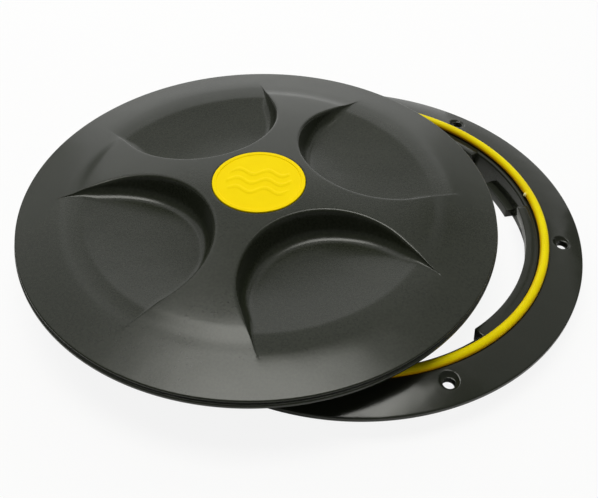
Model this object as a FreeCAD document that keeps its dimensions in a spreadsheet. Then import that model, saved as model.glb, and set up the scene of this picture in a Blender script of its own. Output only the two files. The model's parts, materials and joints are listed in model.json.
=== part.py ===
"""Round quarter-turn kayak deck hatch: deck ring, O-ring, domed lid and badge.

Millimetres, +Z up. The origin is on the ring's axis in the plane of the deck, which is
the underside of the ring's flange. The lid is off and lies aside on the O-ring.
"""
import FreeCAD
import Part
import math
import os

import Sketcher

# Driving sizes in millimetres and degrees, each written once
SIZES = (
    # Deck ring
    ("flange_reach", 20.95, "how far the flange reaches out from the seal's centre line"),
    ("flange_edge", 2.5, "thickness of the flange at its outer edge"),
    ("edge_bevel", 0.6, "bevel of the ring's outer and lower edges"),
    ("shoulder_height", 6.0, "height of the flange beside the seal groove"),
    ("crown_inset", 9.0, "distance from the flange's edge to where its top bends"),
    ("crown_height", 4.7, "height of the flange where its top bends"),
    ("seal_inset", 4.85, "distance from the collar's bore to the seal's centre line"),
    ("collar_wall", 3.2, "wall of the collar"),
    ("collar_depth", 12.5, "depth of the collar below the deck"),
    ("lip_height", 4.6, "height of the lip inside the seal groove"),
    ("groove_floor", 3.9, "height of the seal groove's floor"),
    # Seal
    ("seal_radius", 106.05, "radius of the seal's centre line"),
    ("cord_diameter", 4.8, "diameter of the seal's cord"),
    ("cord_flats", 12.0, "number of flats round the cord"),
    ("groove_slack", 0.15, "clearance at each side of the seal"),
    # Locking ledges and tabs
    ("bayonet_count", 4.0, "number of ledges, tabs and lugs"),
    ("ledge_reach", 4.6, "how far a ledge stands in from the collar"),
    ("ledge_thickness", 7.3, "thickness of a ledge where a lug enters"),
    ("cam_rise", 0.7, "how much thicker a ledge is at its far end"),
    ("ledge_draft", 8.0, "lean of a ledge's inner face"),
    ("ledge_turn", -48.3, "angle of the first ledge's far end"),
    ("ledge_sweep", 60.3, "angle that a ledge spans"),
    ("stop_sweep", 3.0, "angle of the stop at a ledge's far end"),
    ("stop_depth", 4.0, "how far the stop hangs below the ledge"),
    ("stop_set", 1.8, "how far the stop stands back from the ledge's inner edge"),
    ("tab_turn", 17.5, "angle where the first tab starts"),
    ("tab_sweep", 15.5, "angle that a tab spans"),
    ("tab_height", 5.5, "height of a tab above the collar's lower edge"),
    # Screw holes
    ("screw_count", 6.0, "number of screw holes"),
    ("screw_inset", 10.8, "distance from the flange's edge to the screw circle"),
    ("screw_hole", 6.0, "diameter of a screw hole"),
    ("screw_head", 11.0, "diameter of a countersink"),
    ("screw_cone", 90.0, "full angle of a countersink"),
    ("screw_turn", -4.0, "angle of the first screw hole"),
    # Lid, with heights measured from the rim's upper edge
    ("rim_inset", 2.4, "how much smaller the lid's radius is than the ring's"),
    ("rim_drop", 4.3, "height of the rim's side"),
    ("rim_wall", 3.0, "wall of the rim"),
    ("rim_step", 0.4, "width of the step round the rim"),
    ("step_drop", 2.1, "depth of the step below the rim's upper edge"),
    ("band_width", 20.6, "width of the sloped outer band"),
    ("dome_height", 14.0, "height of the dome's middle"),
    ("crest_drop", 6.83, "how much lower the dome is where it starts to fall"),
    ("crest_inset", 18.0, "distance from the band in to where the dome starts to fall"),
    ("crest_round", 31.0, "section radius of the falling crest"),
    ("fall_inset", 13.0, "distance from the band in to where the fall is steepest"),
    ("valley_round", 42.0, "section radius of the valley inside the band"),
    ("valley_inset", 4.4, "distance from the band in to where the valley runs out"),
    ("wall", 3.0, "wall of the lid"),
    ("hub_radius", 28.0, "inner radius of the thicker hub under the badge"),
    ("core_inset", 12.0, "distance from the skirt in to where the hollow's roof falls"),
    ("core_eave", 2.0, "height of the hollow's roof at the skirt"),
    ("brace_drop", 4.6, "depth below the rim's edge at which the skirt meets the lid"),
    ("rim_bevel", 0.7, "bevel of the rim's upper edge"),
    ("rim_root", 2.2, "depth of the underside beside the rim"),
    ("skirt_gap", 6.2, "gap between the plug skirt and the collar's bore"),
    ("skirt_depth", 14.1, "depth of the skirt below the rim's upper edge"),
    ("seat_inset", 3.75, "distance from the seat's inner edge to the seal's centre line"),
    ("seat_width", 7.0, "width of the seal's seat"),
    ("seat_height", 0.0, "height of the seal's seat"),
    ("lug_reach", 5.6, "how far a lug stands out from the skirt"),
    ("lug_thickness", 2.4, "thickness of a lug"),
    ("lug_sweep", 24.0, "angle that a lug spans"),
    # Finger scoops
    ("scoop_count", 4.0, "number of scoops"),
    ("scoop_inset", 10.0, "distance from the crest in to the centre of a scoop's round"),
    ("spoke_width", 22.3, "width between two scoops, level with the rim"),
    ("scoop_flare", 14.0, "angle at which a scoop's flanks open outwards"),
    ("scoop_draft", 15.0, "lean of a scoop's wall"),
    ("scoop_floor", 2.3, "greatest depth of a scoop's floor below the rim's edge"),
    ("floor_slope", 5.0, "slope at which a scoop's floor climbs outwards"),
    ("climb_inset", 26.0, "distance from the centre of a scoop's round in to where the climb starts"),
    ("scoop_rise", 13.5, "angle of the ramp at a scoop's outer end"),
    ("scoop_run", 14.0, "how far a scoop's outline runs on over the band"),
    ("ramp_inset", 15.0, "distance from the band in to where the floor turns into the ramp"),
    ("ramp_round", 30.0, "section radius between floor and ramp"),
    ("brow_inset", 3.6, "distance from the band in to where the ramp turns into it"),
    ("brow_round", 5.0, "section radius between ramp and band"),
    ("brow_slope", 5.0, "slope at which the ramp meets the band"),
    ("floor_bevel", 3.0, "bevel between a scoop's floor and wall"),
    # Badge
    ("badge_radius", 23.9, "radius of the badge"),
    ("badge_thickness", 2.0, "thickness of the badge at its border"),
    ("badge_sink", 2.0, "depth of the badge's seat below the dome's middle"),
    ("badge_border", 2.0, "width of the raised border"),
    ("badge_relief", 0.35, "height of the border above the field"),
    ("badge_bevel", 0.25, "bevel of the border's outer edge"),
    ("badge_slack", 0.15, "clearance round the badge"),
    ("hub_wall", 2.6, "wall of the lid under the badge"),
    # Where the lid lies
    ("lid_x", -47.3, "lid centre to the right of the ring's axis"),
    ("lid_y", -12.15, "lid centre behind the ring's axis"),
    ("lid_gap", 0.15, "gap between the skirt and the seal"),
    ("lid_turn", -54.9, "turn of the lid about its axis"),
)

# Sizes that follow from the ones above
FOLLOWING = (
    ("collar_bore", "seal_radius - seal_inset", "inner radius of the collar"),
    ("ring_radius", "seal_radius + flange_reach", "outer radius of the flange"),
    ("crown_radius", "ring_radius - crown_inset", "radius at which the flange's top bends"),
    ("screw_circle", "ring_radius - screw_inset", "radius of the screw circle"),
    ("rim_radius", "ring_radius - rim_inset", "outer radius of the lid"),
    ("band_radius", "rim_radius - band_width", "inner radius of the sloped outer band"),
    ("crest_radius", "band_radius - crest_inset", "radius at which the dome starts to fall"),
    ("dome_crown", "(crest_radius^2 + crest_drop^2) / (2 * crest_drop)", "radius of the dome"),
    ("fall_radius", "band_radius - fall_inset", "radius at which the fall is steepest"),
    ("valley_radius", "band_radius - valley_inset", "radius at which the valley runs out"),
    ("badge_seat", "dome_height - badge_sink", "height of the seat that the badge lies on"),
    ("skirt_radius", "collar_bore - skirt_gap", "outer radius of the plug skirt"),
    ("core_radius", "skirt_radius - core_inset", "radius at which the hollow's roof falls"),
    ("seat_radius", "seal_radius - seat_inset", "inner radius of the seal's seat"),
    ("scoop_centre", "crest_radius - scoop_inset", "distance of a scoop's round from the axis"),
    ("scoop_round", "scoop_centre * sin(180 / scoop_count) - spoke_width / 2",
     "radius of a scoop's round, level with the rim"),
    ("scoop_reach", "band_radius + scoop_run", "distance at which a scoop's outline ends"),
    ("climb_radius", "scoop_centre - climb_inset", "radius where a scoop's floor starts to climb"),
    ("ramp_radius", "band_radius - ramp_inset", "radius where a scoop's floor turns into the ramp"),
    ("ramp_reach", "band_radius - brow_inset", "radius where the ramp turns into the band"),
)


class Dim:
    """A number together with the formula that gives it from the sheet."""

    def __init__(self, value, text):
        self.value = float(value)
        self.text = text

    def _join(self, other, sign, value):
        text = other.text if isinstance(other, Dim) else repr(float(other))
        return Dim(value, "(%s %s %s)" % (self.text, sign, text))

    def __add__(self, other):
        return self._join(other, "+", self.value + number(other))

    def __sub__(self, other):
        return self._join(other, "-", self.value - number(other))

    def __mul__(self, other):
        return self._join(other, "*", self.value * number(other))

    def __truediv__(self, other):
        return self._join(other, "/", self.value / number(other))

    def __neg__(self):
        return Dim(-self.value, "(-1 * %s)" % self.text)


def number(value):
    """Return the plain number of a Dim or of a number."""
    return value.value if isinstance(value, Dim) else float(value)


def make_sheet(doc):
    """Write the sizes into a sheet, what follows as formulas, and return them by name."""
    sheet = doc.addObject("Spreadsheet::Sheet", "Sizes")
    rows = [(name, repr(value), meaning) for name, value, meaning in SIZES]
    rows += [(name, "=" + formula, meaning) for name, formula, meaning in FOLLOWING]
    for row, (name, content, meaning) in enumerate(rows, start=1):
        sheet.set("A%d" % row, meaning)
        sheet.set("B%d" % row, content)
        sheet.setAlias("B%d" % row, name)
    doc.recompute()
    return {row[0]: Dim(sheet.get(row[0]), "Sizes.%s" % row[0]) for row in rows}


def bind(item, path, dim):
    """Bind a property of a document object to the sheet."""
    item.setExpression(path, dim.text)


class Outline:
    """A closed outline in a sketch, drawn corner by corner with bound sizes."""

    def __init__(self, sketch, x, y, guess=None):
        self.sketch = sketch
        self.start = (x, y)
        self.corner = guess or (number(x), number(y))
        self.origin = self.corner
        self.first = None
        self.last = None

    def _relate(self, *parts):
        return self.sketch.addConstraint(Sketcher.Constraint(*parts))

    def _measure(self, kind, *parts_and_dim):
        *parts, dim = parts_and_dim
        value = math.radians(number(dim)) if kind == "Angle" else number(dim)
        index = self._relate(kind, *parts, value)
        if isinstance(dim, Dim):
            self.sketch.setExpression("Constraints[%d]" % index, dim.text)
        return index

    def _pin(self, piece, end, x, y):
        """Hold one end of an edge at x and y; None leaves a direction free.

        In a sketch, geometry -1 is the level axis and -2 the upright one.
        """
        for kind, axis, value in (("DistanceX", -2, x), ("DistanceY", -1, y)):
            if value is None:
                continue
            if number(value) == 0.0 and not isinstance(value, Dim):
                self._relate("PointOnObject", piece, end, axis)
            else:
                self._measure(kind, -1, 1, piece, end, value)

    def _join(self, piece, end, smooth):
        """Join an edge's start to the edge before it."""
        if self.last is None:
            self.first = (piece, end)
            self._pin(piece, end, *self.start)
        else:
            self._relate("Tangent" if smooth else "Coincident", *self.last, piece, end)

    def line(self, x, y, guess=None, smooth=False):
        """Draw a line to a corner; guess stands in for a free direction."""
        goal = guess or (number(x), number(y))
        piece = self.sketch.addGeometry(
            Part.LineSegment(FreeCAD.Vector(*self.corner, 0), FreeCAD.Vector(*goal, 0)))
        self._join(piece, 1, smooth)
        self._pin(piece, 2, x, y)
        self.last = (piece, 2)
        self.corner = goal
        return piece

    def arc(self, x, y, radius, left, guess=None, smooth=False):
        """Draw an arc to a corner, turning left or right on the way."""
        goal = guess or (number(x), number(y))
        size = number(radius)
        middle = FreeCAD.Vector((self.corner[0] + goal[0]) / 2, (self.corner[1] + goal[1]) / 2, 0)
        chord = FreeCAD.Vector(goal[0] - self.corner[0], goal[1] - self.corner[1], 0)
        side = FreeCAD.Vector(-chord.y, chord.x, 0).normalize()
        reach = math.sqrt(size ** 2 - (chord.Length / 2) ** 2)
        centre = middle + side * (reach if left else -reach)
        angles = []
        for point in (self.corner, goal) if left else (goal, self.corner):
            angles.append(math.atan2(point[1] - centre.y, point[0] - centre.x))
        if angles[1] < angles[0]:
            angles[1] += 2 * math.pi
        circle = Part.Circle(centre, FreeCAD.Vector(0, 0, 1), size)
        piece = self.sketch.addGeometry(Part.ArcOfCircle(circle, *angles))
        start, end = (1, 2) if left else (2, 1)
        self._join(piece, start, smooth)
        self._pin(piece, end, x, y)
        self._measure("Radius", piece, radius)
        self.last = (piece, end)
        self.corner = goal
        return piece

    def slope(self, piece, angle):
        """Hold a line at an angle to the sketch's level direction."""
        self._measure("Angle", piece, angle)

    def close(self):
        """Draw the last line back to the first corner."""
        piece = self.sketch.addGeometry(
            Part.LineSegment(FreeCAD.Vector(*self.corner, 0), FreeCAD.Vector(*self.origin, 0)))
        self._relate("Coincident", *self.last, piece, 1)
        self._relate("Coincident", piece, 2, *self.first)


def body_sketch(body, name, role, turn=None, lift=None):
    """Add a sketch on one of the body's own origin planes.

    turn swings the plane about its upright axis, lift raises it along its normal.
    """
    plane = [item for item in body.Origin.OriginFeatures if item.Role == role][0]
    sketch = body.newObject("Sketcher::SketchObject", name)
    sketch.AttachmentSupport = (plane, [""])
    sketch.MapMode = "FlatFace"
    if turn is not None:
        sketch.AttachmentOffset = FreeCAD.Placement(
            FreeCAD.Vector(), FreeCAD.Rotation(FreeCAD.Vector(0, 1, 0), number(turn)))
        bind(sketch, "AttachmentOffset.Rotation.Angle", turn)
    if lift is not None:
        sketch.AttachmentOffset = FreeCAD.Placement(
            FreeCAD.Vector(0, 0, number(lift)), FreeCAD.Rotation())
        bind(sketch, "AttachmentOffset.Base.z", lift)
    return sketch


def revolve(body, name, sketch, sweep=None):
    """Revolve a body's sketch about the upright axis, all round or through an angle."""
    feature = body.newObject("PartDesign::Revolution", name)
    feature.Profile = (sketch, [""])
    feature.ReferenceAxis = (sketch, ["V_Axis"])
    feature.Angle = 360.0
    if sweep is not None:
        feature.Angle = number(sweep)
        bind(feature, "Angle", sweep)
    return feature


def repeat_round(body, name, features, count):
    """Repeat features of a body evenly about the upright axis."""
    axis = [item for item in body.Origin.OriginFeatures if item.Role == "Z_Axis"][0]
    pattern = body.newObject("PartDesign::PolarPattern", name)
    pattern.Originals = features
    pattern.Axis = (axis, [""])
    pattern.Angle = 360.0
    pattern.Occurrences = int(number(count))
    bind(pattern, "Occurrences", count)
    body.Tip = pattern
    return pattern


def build_ring(doc, dims):
    """Deck ring: flange, collar and seal groove turned in one, then ledges, tabs and holes."""
    body = doc.addObject("PartDesign::Body", "DeckRing")
    body.Label = "deck_ring"
    bore = dims["collar_bore"]
    outside = bore + dims["collar_wall"]
    groove_half = dims["cord_diameter"] / 2 + dims["groove_slack"]
    groove_in = dims["seal_radius"] - groove_half
    groove_out = dims["seal_radius"] + groove_half
    bottom = -dims["collar_depth"]
    lip = dims["lip_height"]

    # Flange, collar and the groove for the seal
    section = body_sketch(body, "RingSection", "XZ_Plane")
    edge = Outline(section, bore, bottom)
    edge.line(outside, bottom)
    edge.line(outside, 0)
    edge.line(dims["ring_radius"], 0)
    edge.line(dims["ring_radius"], dims["flange_edge"])
    edge.line(dims["crown_radius"], dims["crown_height"])
    edge.line(groove_out, dims["shoulder_height"])
    edge.line(groove_out, dims["groove_floor"])
    edge.line(groove_in, dims["groove_floor"])
    edge.line(groove_in, lip)
    edge.line(bore, lip)
    edge.close()
    turned = revolve(body, "RingTurned", section)
    doc.recompute()

    # Bevelled edges of the flange, the groove's mouth and the collar
    bevel = body.newObject("PartDesign::Chamfer", "RingBevels")
    circles = (
        (dims["ring_radius"], dims["flange_edge"]),
        (groove_out, dims["shoulder_height"]),
        (outside, bottom),
        (bore, bottom),
    )
    bevel.Base = (turned, [circle_name(turned.Shape, *circle) for circle in circles])
    bevel.Size = number(dims["edge_bevel"])
    bind(bevel, "Size", dims["edge_bevel"])

    # One cam ledge: its section grows from the lug's entry to its far end
    ledge_in = bore - dims["ledge_reach"]
    root = bore + dims["collar_wall"] / 2
    entry_turn = dims["ledge_turn"] + dims["ledge_sweep"]
    sections = []
    for name, turn, thickness in (
            ("LedgeEntry", entry_turn, dims["ledge_thickness"]),
            ("LedgeEnd", dims["ledge_turn"], dims["ledge_thickness"] + dims["cam_rise"])):
        sketch = body_sketch(body, name, "XZ_Plane", turn=turn)
        lean = math.tan(math.radians(number(dims["ledge_draft"])))
        edge = Outline(sketch, ledge_in, lip)
        foot = (number(ledge_in) + number(thickness) * lean, number(lip) - number(thickness))
        inner = edge.line(None, lip - thickness, guess=foot)
        edge.line(root, lip - thickness)
        edge.line(root, lip)
        edge.close()
        edge.slope(inner, dims["ledge_draft"] - 90)
        sections.append(sketch)
    route = body_sketch(body, "LedgeRoute", "XY_Plane")
    arc_turn = (number(dims["ledge_turn"]), number(entry_turn))
    circle = Part.Circle(FreeCAD.Vector(), FreeCAD.Vector(0, 0, 1), number(bore))
    route.addGeometry(Part.ArcOfCircle(circle, *[math.radians(angle) for angle in arc_turn]))
    ledge = body.newObject("PartDesign::AdditivePipe", "Ledge")
    ledge.Profile = (sections[0], [""])
    ledge.Sections = [(sections[1], [""])]
    ledge.Spine = (route, ["Edge1"])
    ledge.Transformation = "Multisection"
    doc.recompute()

    # The stop that ends a lug's travel, under the ledge's far end
    stop_top = lip - dims["ledge_thickness"]
    stop_foot = stop_top - dims["stop_depth"]
    stop = sector(body, "LedgeStop", dims["ledge_turn"], dims["stop_sweep"],
                  ledge_in + dims["stop_set"], root, stop_foot, stop_top)

    # The tab in the gap beside the ledge, level with the collar's lower edge
    tab = sector(body, "LowerTab", dims["tab_turn"], dims["tab_sweep"],
                 ledge_in, root, bottom, bottom + dims["tab_height"])
    repeat_round(body, "BayonetRing", [ledge, stop, tab], dims["bayonet_count"])
    doc.recompute()

    # Countersunk screw holes through the flange
    spot = body_sketch(body, "ScrewSpot", "XY_Plane", lift=dims["shoulder_height"])
    turn = math.radians(number(dims["screw_turn"]))
    centre = FreeCAD.Vector(math.cos(turn), math.sin(turn), 0) * number(dims["screw_circle"])
    radius = dims["screw_hole"] / 2
    ring = spot.addGeometry(Part.Circle(centre, FreeCAD.Vector(0, 0, 1), number(radius)))
    index = spot.addConstraint(Sketcher.Constraint("Radius", ring, number(radius)))
    spot.setExpression("Constraints[%d]" % index, radius.text)
    ray = spot.addGeometry(Part.LineSegment(FreeCAD.Vector(), centre), True)
    spot.addConstraint(Sketcher.Constraint("Coincident", ray, 1, -1, 1))
    spot.addConstraint(Sketcher.Constraint("Coincident", ray, 2, ring, 3))
    index = spot.addConstraint(Sketcher.Constraint("Distance", ray, number(dims["screw_circle"])))
    spot.setExpression("Constraints[%d]" % index, dims["screw_circle"].text)
    index = spot.addConstraint(Sketcher.Constraint("Angle", ray, turn))
    spot.setExpression("Constraints[%d]" % index, dims["screw_turn"].text)
    doc.recompute()
    hole = body.newObject("PartDesign::Hole", "ScrewHole")
    hole.Profile = (spot, [""])
    hole.Diameter = number(dims["screw_hole"])
    bind(hole, "Diameter", dims["screw_hole"])
    hole.DepthType = "ThroughAll"
    hole.HoleCutType = "Countersink"
    hole.HoleCutDiameter = number(dims["screw_head"])
    bind(hole, "HoleCutDiameter", dims["screw_head"])
    hole.HoleCutCountersinkAngle = number(dims["screw_cone"])
    bind(hole, "HoleCutCountersinkAngle", dims["screw_cone"])
    doc.recompute()
    repeat_round(body, "ScrewRing", [hole], dims["screw_count"])
    doc.recompute()
    return body


def sector(body, name, turn, sweep, inner, outer, low, high):
    """Add a block to a body that follows the ring through an angle."""
    sketch = body_sketch(body, name + "Section", "XZ_Plane", turn=turn)
    edge = Outline(sketch, inner, low)
    edge.line(outer, low)
    edge.line(outer, high)
    edge.line(inner, high)
    edge.close()
    return revolve(body, name, sketch, sweep=sweep)


def circle_name(shape, radius, height):
    """Find the name of a shape's circular edge round the upright axis."""
    for index, edge in enumerate(shape.Edges, start=1):
        curve = edge.Curve
        if isinstance(curve, Part.Circle) and abs(curve.Radius - number(radius)) < 1e-4 \
                and abs(curve.Center.z - number(height)) < 1e-4:
            return "Edge%d" % index
    raise RuntimeError("no round edge at radius %g, height %g" % (number(radius), number(height)))


def build_seal(doc, dims):
    """O-ring: a cord ring that stands on the floor of the groove.

    The cord's section has flats that touch its round, the lowest lying on the floor.
    """
    flats = dims["cord_flats"]
    radius = dims["cord_diameter"] / 2
    lean = math.pi / number(flats)
    section = doc.addObject("Part::RegularPolygon", "CordSection")
    section.Polygon = int(number(flats))
    bind(section, "Polygon", flats)
    section.Circumradius = number(radius) / math.cos(lean)
    bind(section, "Circumradius", Dim(number(section.Circumradius), "%s / cos(180 / %s)" % (
        radius.text, flats.text)))
    section.Placement = FreeCAD.Placement(
        FreeCAD.Vector(number(dims["seal_radius"]), 0, number(dims["groove_floor"] + radius)),
        FreeCAD.Rotation(FreeCAD.Vector(1, 0, 0), 90) * FreeCAD.Rotation(
            FreeCAD.Vector(0, 0, 1), math.degrees(lean)))
    bind(section, "Placement.Base.x", dims["seal_radius"])
    bind(section, "Placement.Base.z", dims["groove_floor"] + radius)
    seal = turned_solid(doc, "Seal", section)
    seal.Label = "o_ring"
    return seal


def free_sketch(doc, name, upright, turn=0.0):
    """Add a sketch that stands on its own, level, or upright in a plane through the axis."""
    sketch = doc.addObject("Sketcher::SketchObject", name)
    if upright:
        raised = FreeCAD.Rotation(FreeCAD.Vector(1, 0, 0), 90)
        turned = FreeCAD.Rotation(FreeCAD.Vector(0, 0, 1), turn)
        sketch.Placement = FreeCAD.Placement(FreeCAD.Vector(), turned * raised)
    return sketch


def turned_solid(doc, name, sketch):
    """Revolve a free sketch all round the upright axis into a solid."""
    solid = doc.addObject("Part::Revolution", name)
    solid.Source = sketch
    solid.Axis = FreeCAD.Vector(0, 0, 1)
    solid.Base = FreeCAD.Vector()
    solid.Angle = 360.0
    solid.Solid = True
    return solid


def dome_guess(dims):
    """Heights and places of the corners where the dome's arcs meet, from the middle out."""
    size = {name: number(dim) for name, dim in dims.items()}
    crest = math.asin(size["crest_radius"] / size["dome_crown"])
    crest_high = size["dome_height"] - size["dome_crown"] * (1 - math.cos(crest))
    fall = math.asin(
        math.sin(crest) + (size["fall_radius"] - size["crest_radius"]) / size["crest_round"])
    fall_high = crest_high - size["crest_round"] * (math.cos(crest) - math.cos(fall))
    valley = math.asin(
        math.sin(fall) - (size["valley_radius"] - size["fall_radius"]) / size["valley_round"])
    valley_high = fall_high - size["valley_round"] * (math.cos(valley) - math.cos(fall))
    band_high = valley_high - (size["band_radius"] - size["valley_radius"]) * math.tan(valley)
    return {
        "crest": (size["crest_radius"], crest_high),
        "fall": (size["fall_radius"], fall_high),
        "valley": (size["valley_radius"], valley_high),
        "band": (size["band_radius"], band_high),
    }


def lid_outside(doc, dims):
    """The lid's turned outside: domed top, sloped band, stepped rim and plug."""
    sketch = free_sketch(doc, "LidSection", upright=True)
    rim = dims["rim_radius"]
    rim_in = rim - dims["rim_wall"]
    rim_up = rim - dims["rim_step"]
    seat_out = dims["seat_radius"] + dims["seat_width"]
    near = dome_guess(dims)
    edge = Outline(sketch, 0, -dims["skirt_depth"])
    edge.line(dims["skirt_radius"], -dims["skirt_depth"])
    edge.line(dims["skirt_radius"], -dims["brace_drop"])
    edge.line(dims["seat_radius"], dims["seat_height"])
    edge.line(seat_out, dims["seat_height"])
    edge.line(rim_in, -dims["rim_root"])
    edge.line(rim_in, -dims["rim_drop"])
    edge.line(rim, -dims["rim_drop"])
    edge.line(rim, -dims["step_drop"])
    edge.line(rim_up, -dims["step_drop"])
    edge.line(rim_up, -dims["rim_bevel"])
    edge.line(rim_up - dims["rim_bevel"], 0)
    edge.line(dims["band_radius"], None, guess=near["band"])
    edge.line(dims["valley_radius"], None, guess=near["valley"])
    edge.arc(dims["fall_radius"], None, dims["valley_round"], left=False,
             guess=near["fall"], smooth=True)
    edge.arc(dims["crest_radius"], None, dims["crest_round"], left=True,
             guess=near["crest"], smooth=True)
    dome = edge.arc(0, dims["dome_height"], dims["dome_crown"], left=True, smooth=True)
    sketch.addConstraint(Sketcher.Constraint("PointOnObject", dome, 3, -2))
    edge.close()
    return turned_solid(doc, "LidTurned", sketch)


def lid_hollow(doc, dims):
    """The hollow inside the plug, one wall below the dome and round the scoops."""
    sketch = free_sketch(doc, "HollowSection", upright=True)
    skirt_in = dims["skirt_radius"] - dims["wall"]
    low = -dims["skirt_depth"] - dims["wall"]
    hub = dims["badge_seat"] - dims["hub_wall"]

    def roof(radius):
        """Return the height one wall below the dome at a radius."""
        return dims["dome_height"] - dims["wall"] - radius * radius / dims["dome_crown"] / 2

    edge = Outline(sketch, 0, low)
    edge.line(skirt_in, low)
    edge.line(skirt_in, dims["core_eave"])
    edge.line(dims["core_radius"], roof(dims["core_radius"]))
    edge.line(dims["hub_radius"], roof(dims["hub_radius"]))
    edge.line(dims["hub_radius"], hub)
    edge.line(0, hub)
    edge.close()
    turned = turned_solid(doc, "HollowTurned", sketch)

    # What the scoops and the wall round them keep out of the hollow
    kept = doc.addObject("Part::Common", "HollowScoop")
    kept.Base = scoop_prism(doc, dims, "Bed", dims["scoop_round"] + dims["wall"])
    kept.Tool = scoop_bed(doc, dims, skirt_in)
    kept_all = ring_of_links(doc, "HollowScoops", kept, dims["scoop_count"])
    hollow = doc.addObject("Part::Cut", "Hollow")
    hollow.Base = turned
    hollow.Tool = kept_all
    return hollow


def scoop_bed(doc, dims, reach):
    """All that lies higher than one wall below a scoop's floor, turned out to a radius."""
    sketch = free_sketch(doc, "BedSection", upright=True, turn=180.0)
    low = -dims["scoop_floor"] - dims["wall"]
    run = number(reach) - number(dims["climb_radius"])
    climbed = number(low) + run * math.tan(math.radians(number(dims["floor_slope"])))
    edge = Outline(sketch, 0, low)
    edge.line(dims["climb_radius"], low)
    slope = edge.line(reach, None, guess=(number(reach), climbed))
    edge.slope(slope, dims["floor_slope"])
    edge.line(reach, dims["dome_height"])
    edge.line(0, dims["dome_height"])
    edge.close()
    return turned_solid(doc, "BedTurned", sketch)


def scoop_prism(doc, dims, name, radius):
    """A scoop's outline round a radius, drawn level with the rim, extruded with its draft."""
    sketch = free_sketch(doc, name + "Plan", upright=False)
    flare = math.radians(number(dims["scoop_flare"]))
    centre = number(dims["scoop_centre"])
    reach = number(dims["scoop_reach"])
    touch = (centre - number(radius) * math.sin(flare), number(radius) * math.cos(flare))
    corner = touch[1] + (reach - touch[0]) * math.tan(flare)
    edge = Outline(sketch, dims["scoop_reach"], None, guess=(reach, corner))
    upper = edge.line(None, None, guess=touch)
    edge.slope(upper, dims["scoop_flare"] - 180)
    arc = edge.arc(None, None, radius, left=True, guess=(touch[0], -touch[1]), smooth=True)
    sketch.addConstraint(Sketcher.Constraint("PointOnObject", arc, 3, -1))
    index = sketch.addConstraint(Sketcher.Constraint("DistanceX", -1, 1, arc, 3, centre))
    sketch.setExpression("Constraints[%d]" % index, dims["scoop_centre"].text)
    lower = edge.line(dims["scoop_reach"], None, guess=(reach, -corner), smooth=True)
    edge.slope(lower, -dims["scoop_flare"])
    edge.close()
    prism = doc.addObject("Part::Extrusion", name + "Prism")
    prism.Base = sketch
    prism.DirMode = "Custom"
    prism.Dir = FreeCAD.Vector(0, 0, 1)
    prism.Solid = True
    bind(prism, "LengthFwd", dims["dome_height"] + dims["wall"])
    bind(prism, "LengthRev", dims["scoop_floor"] + dims["wall"] * 2)
    bind(prism, "TaperAngle", dims["scoop_draft"])
    bind(prism, "TaperAngleRev", -dims["scoop_draft"])
    return prism


def ring_of_links(doc, name, item, count, shift=0.0):
    """Repeat a solid evenly about the upright axis, the first one turned by a part of a step."""
    step = 360.0 / number(count)
    links = []
    for index in range(int(number(count))):
        link = doc.addObject("App::Link", "%s%d" % (name, index + 1))
        link.LinkedObject = item
        link.Placement = FreeCAD.Placement(
            FreeCAD.Vector(), FreeCAD.Rotation(FreeCAD.Vector(0, 0, 1), (index + shift) * step))
        links.append(link)
    compound = doc.addObject("Part::Compound", name)
    compound.Links = links
    return compound


def scoop_cutter(doc, dims):
    """One scoop as a solid: climbing floor, outer ramp and brow inside the drafted outline."""
    floor = -dims["scoop_floor"]
    prism = scoop_prism(doc, dims, "Scoop", dims["scoop_round"])

    sketch = free_sketch(doc, "ScoopSection", upright=True, turn=180.0)
    climb = math.radians(number(dims["floor_slope"]))
    rise = math.radians(number(dims["scoop_rise"]))
    brow = math.radians(number(dims["brow_slope"]))
    climbed = number(dims["ramp_radius"]) - number(dims["climb_radius"])
    knee = (number(dims["ramp_radius"]), number(floor) + climbed * math.tan(climb))
    foot = (knee[0] + number(dims["ramp_round"]) * (math.sin(rise) - math.sin(climb)),
            knee[1] + number(dims["ramp_round"]) * (math.cos(climb) - math.cos(rise)))
    turn = (number(dims["ramp_reach"]),
            foot[1] + (number(dims["ramp_reach"]) - foot[0]) * math.tan(rise))
    over = (turn[0] + number(dims["brow_round"]) * (math.sin(rise) - math.sin(brow)),
            turn[1] + number(dims["brow_round"]) * (math.cos(brow) - math.cos(rise)))
    reach = dims["rim_radius"]
    tail = (number(reach), over[1] + (number(reach) - over[0]) * math.tan(brow))
    top = dims["dome_height"] * 2
    edge = Outline(sketch, 0, floor)
    edge.line(dims["climb_radius"], floor)
    slope = edge.line(dims["ramp_radius"], None, guess=knee)
    edge.slope(slope, dims["floor_slope"])
    edge.arc(None, None, dims["ramp_round"], left=True, guess=foot, smooth=True)
    ramp = edge.line(dims["ramp_reach"], None, guess=turn, smooth=True)
    edge.slope(ramp, dims["scoop_rise"])
    edge.arc(None, None, dims["brow_round"], left=False, guess=over, smooth=True)
    run = edge.line(reach, None, guess=tail, smooth=True)
    edge.slope(run, dims["brow_slope"])
    edge.line(reach, top)
    edge.line(0, top)
    edge.close()
    depth = turned_solid(doc, "ScoopDepth", sketch)

    scoop = doc.addObject("Part::Common", "ScoopSharp")
    scoop.Base = prism
    scoop.Tool = depth
    doc.recompute()
    bevel = doc.addObject("Part::Chamfer", "ScoopCutter")
    bevel.Base = scoop
    size = number(dims["floor_bevel"])
    bevel.Edges = [(index, size, size) for index in scoop_floor_edges(scoop.Shape, dims)]
    return bevel


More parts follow.
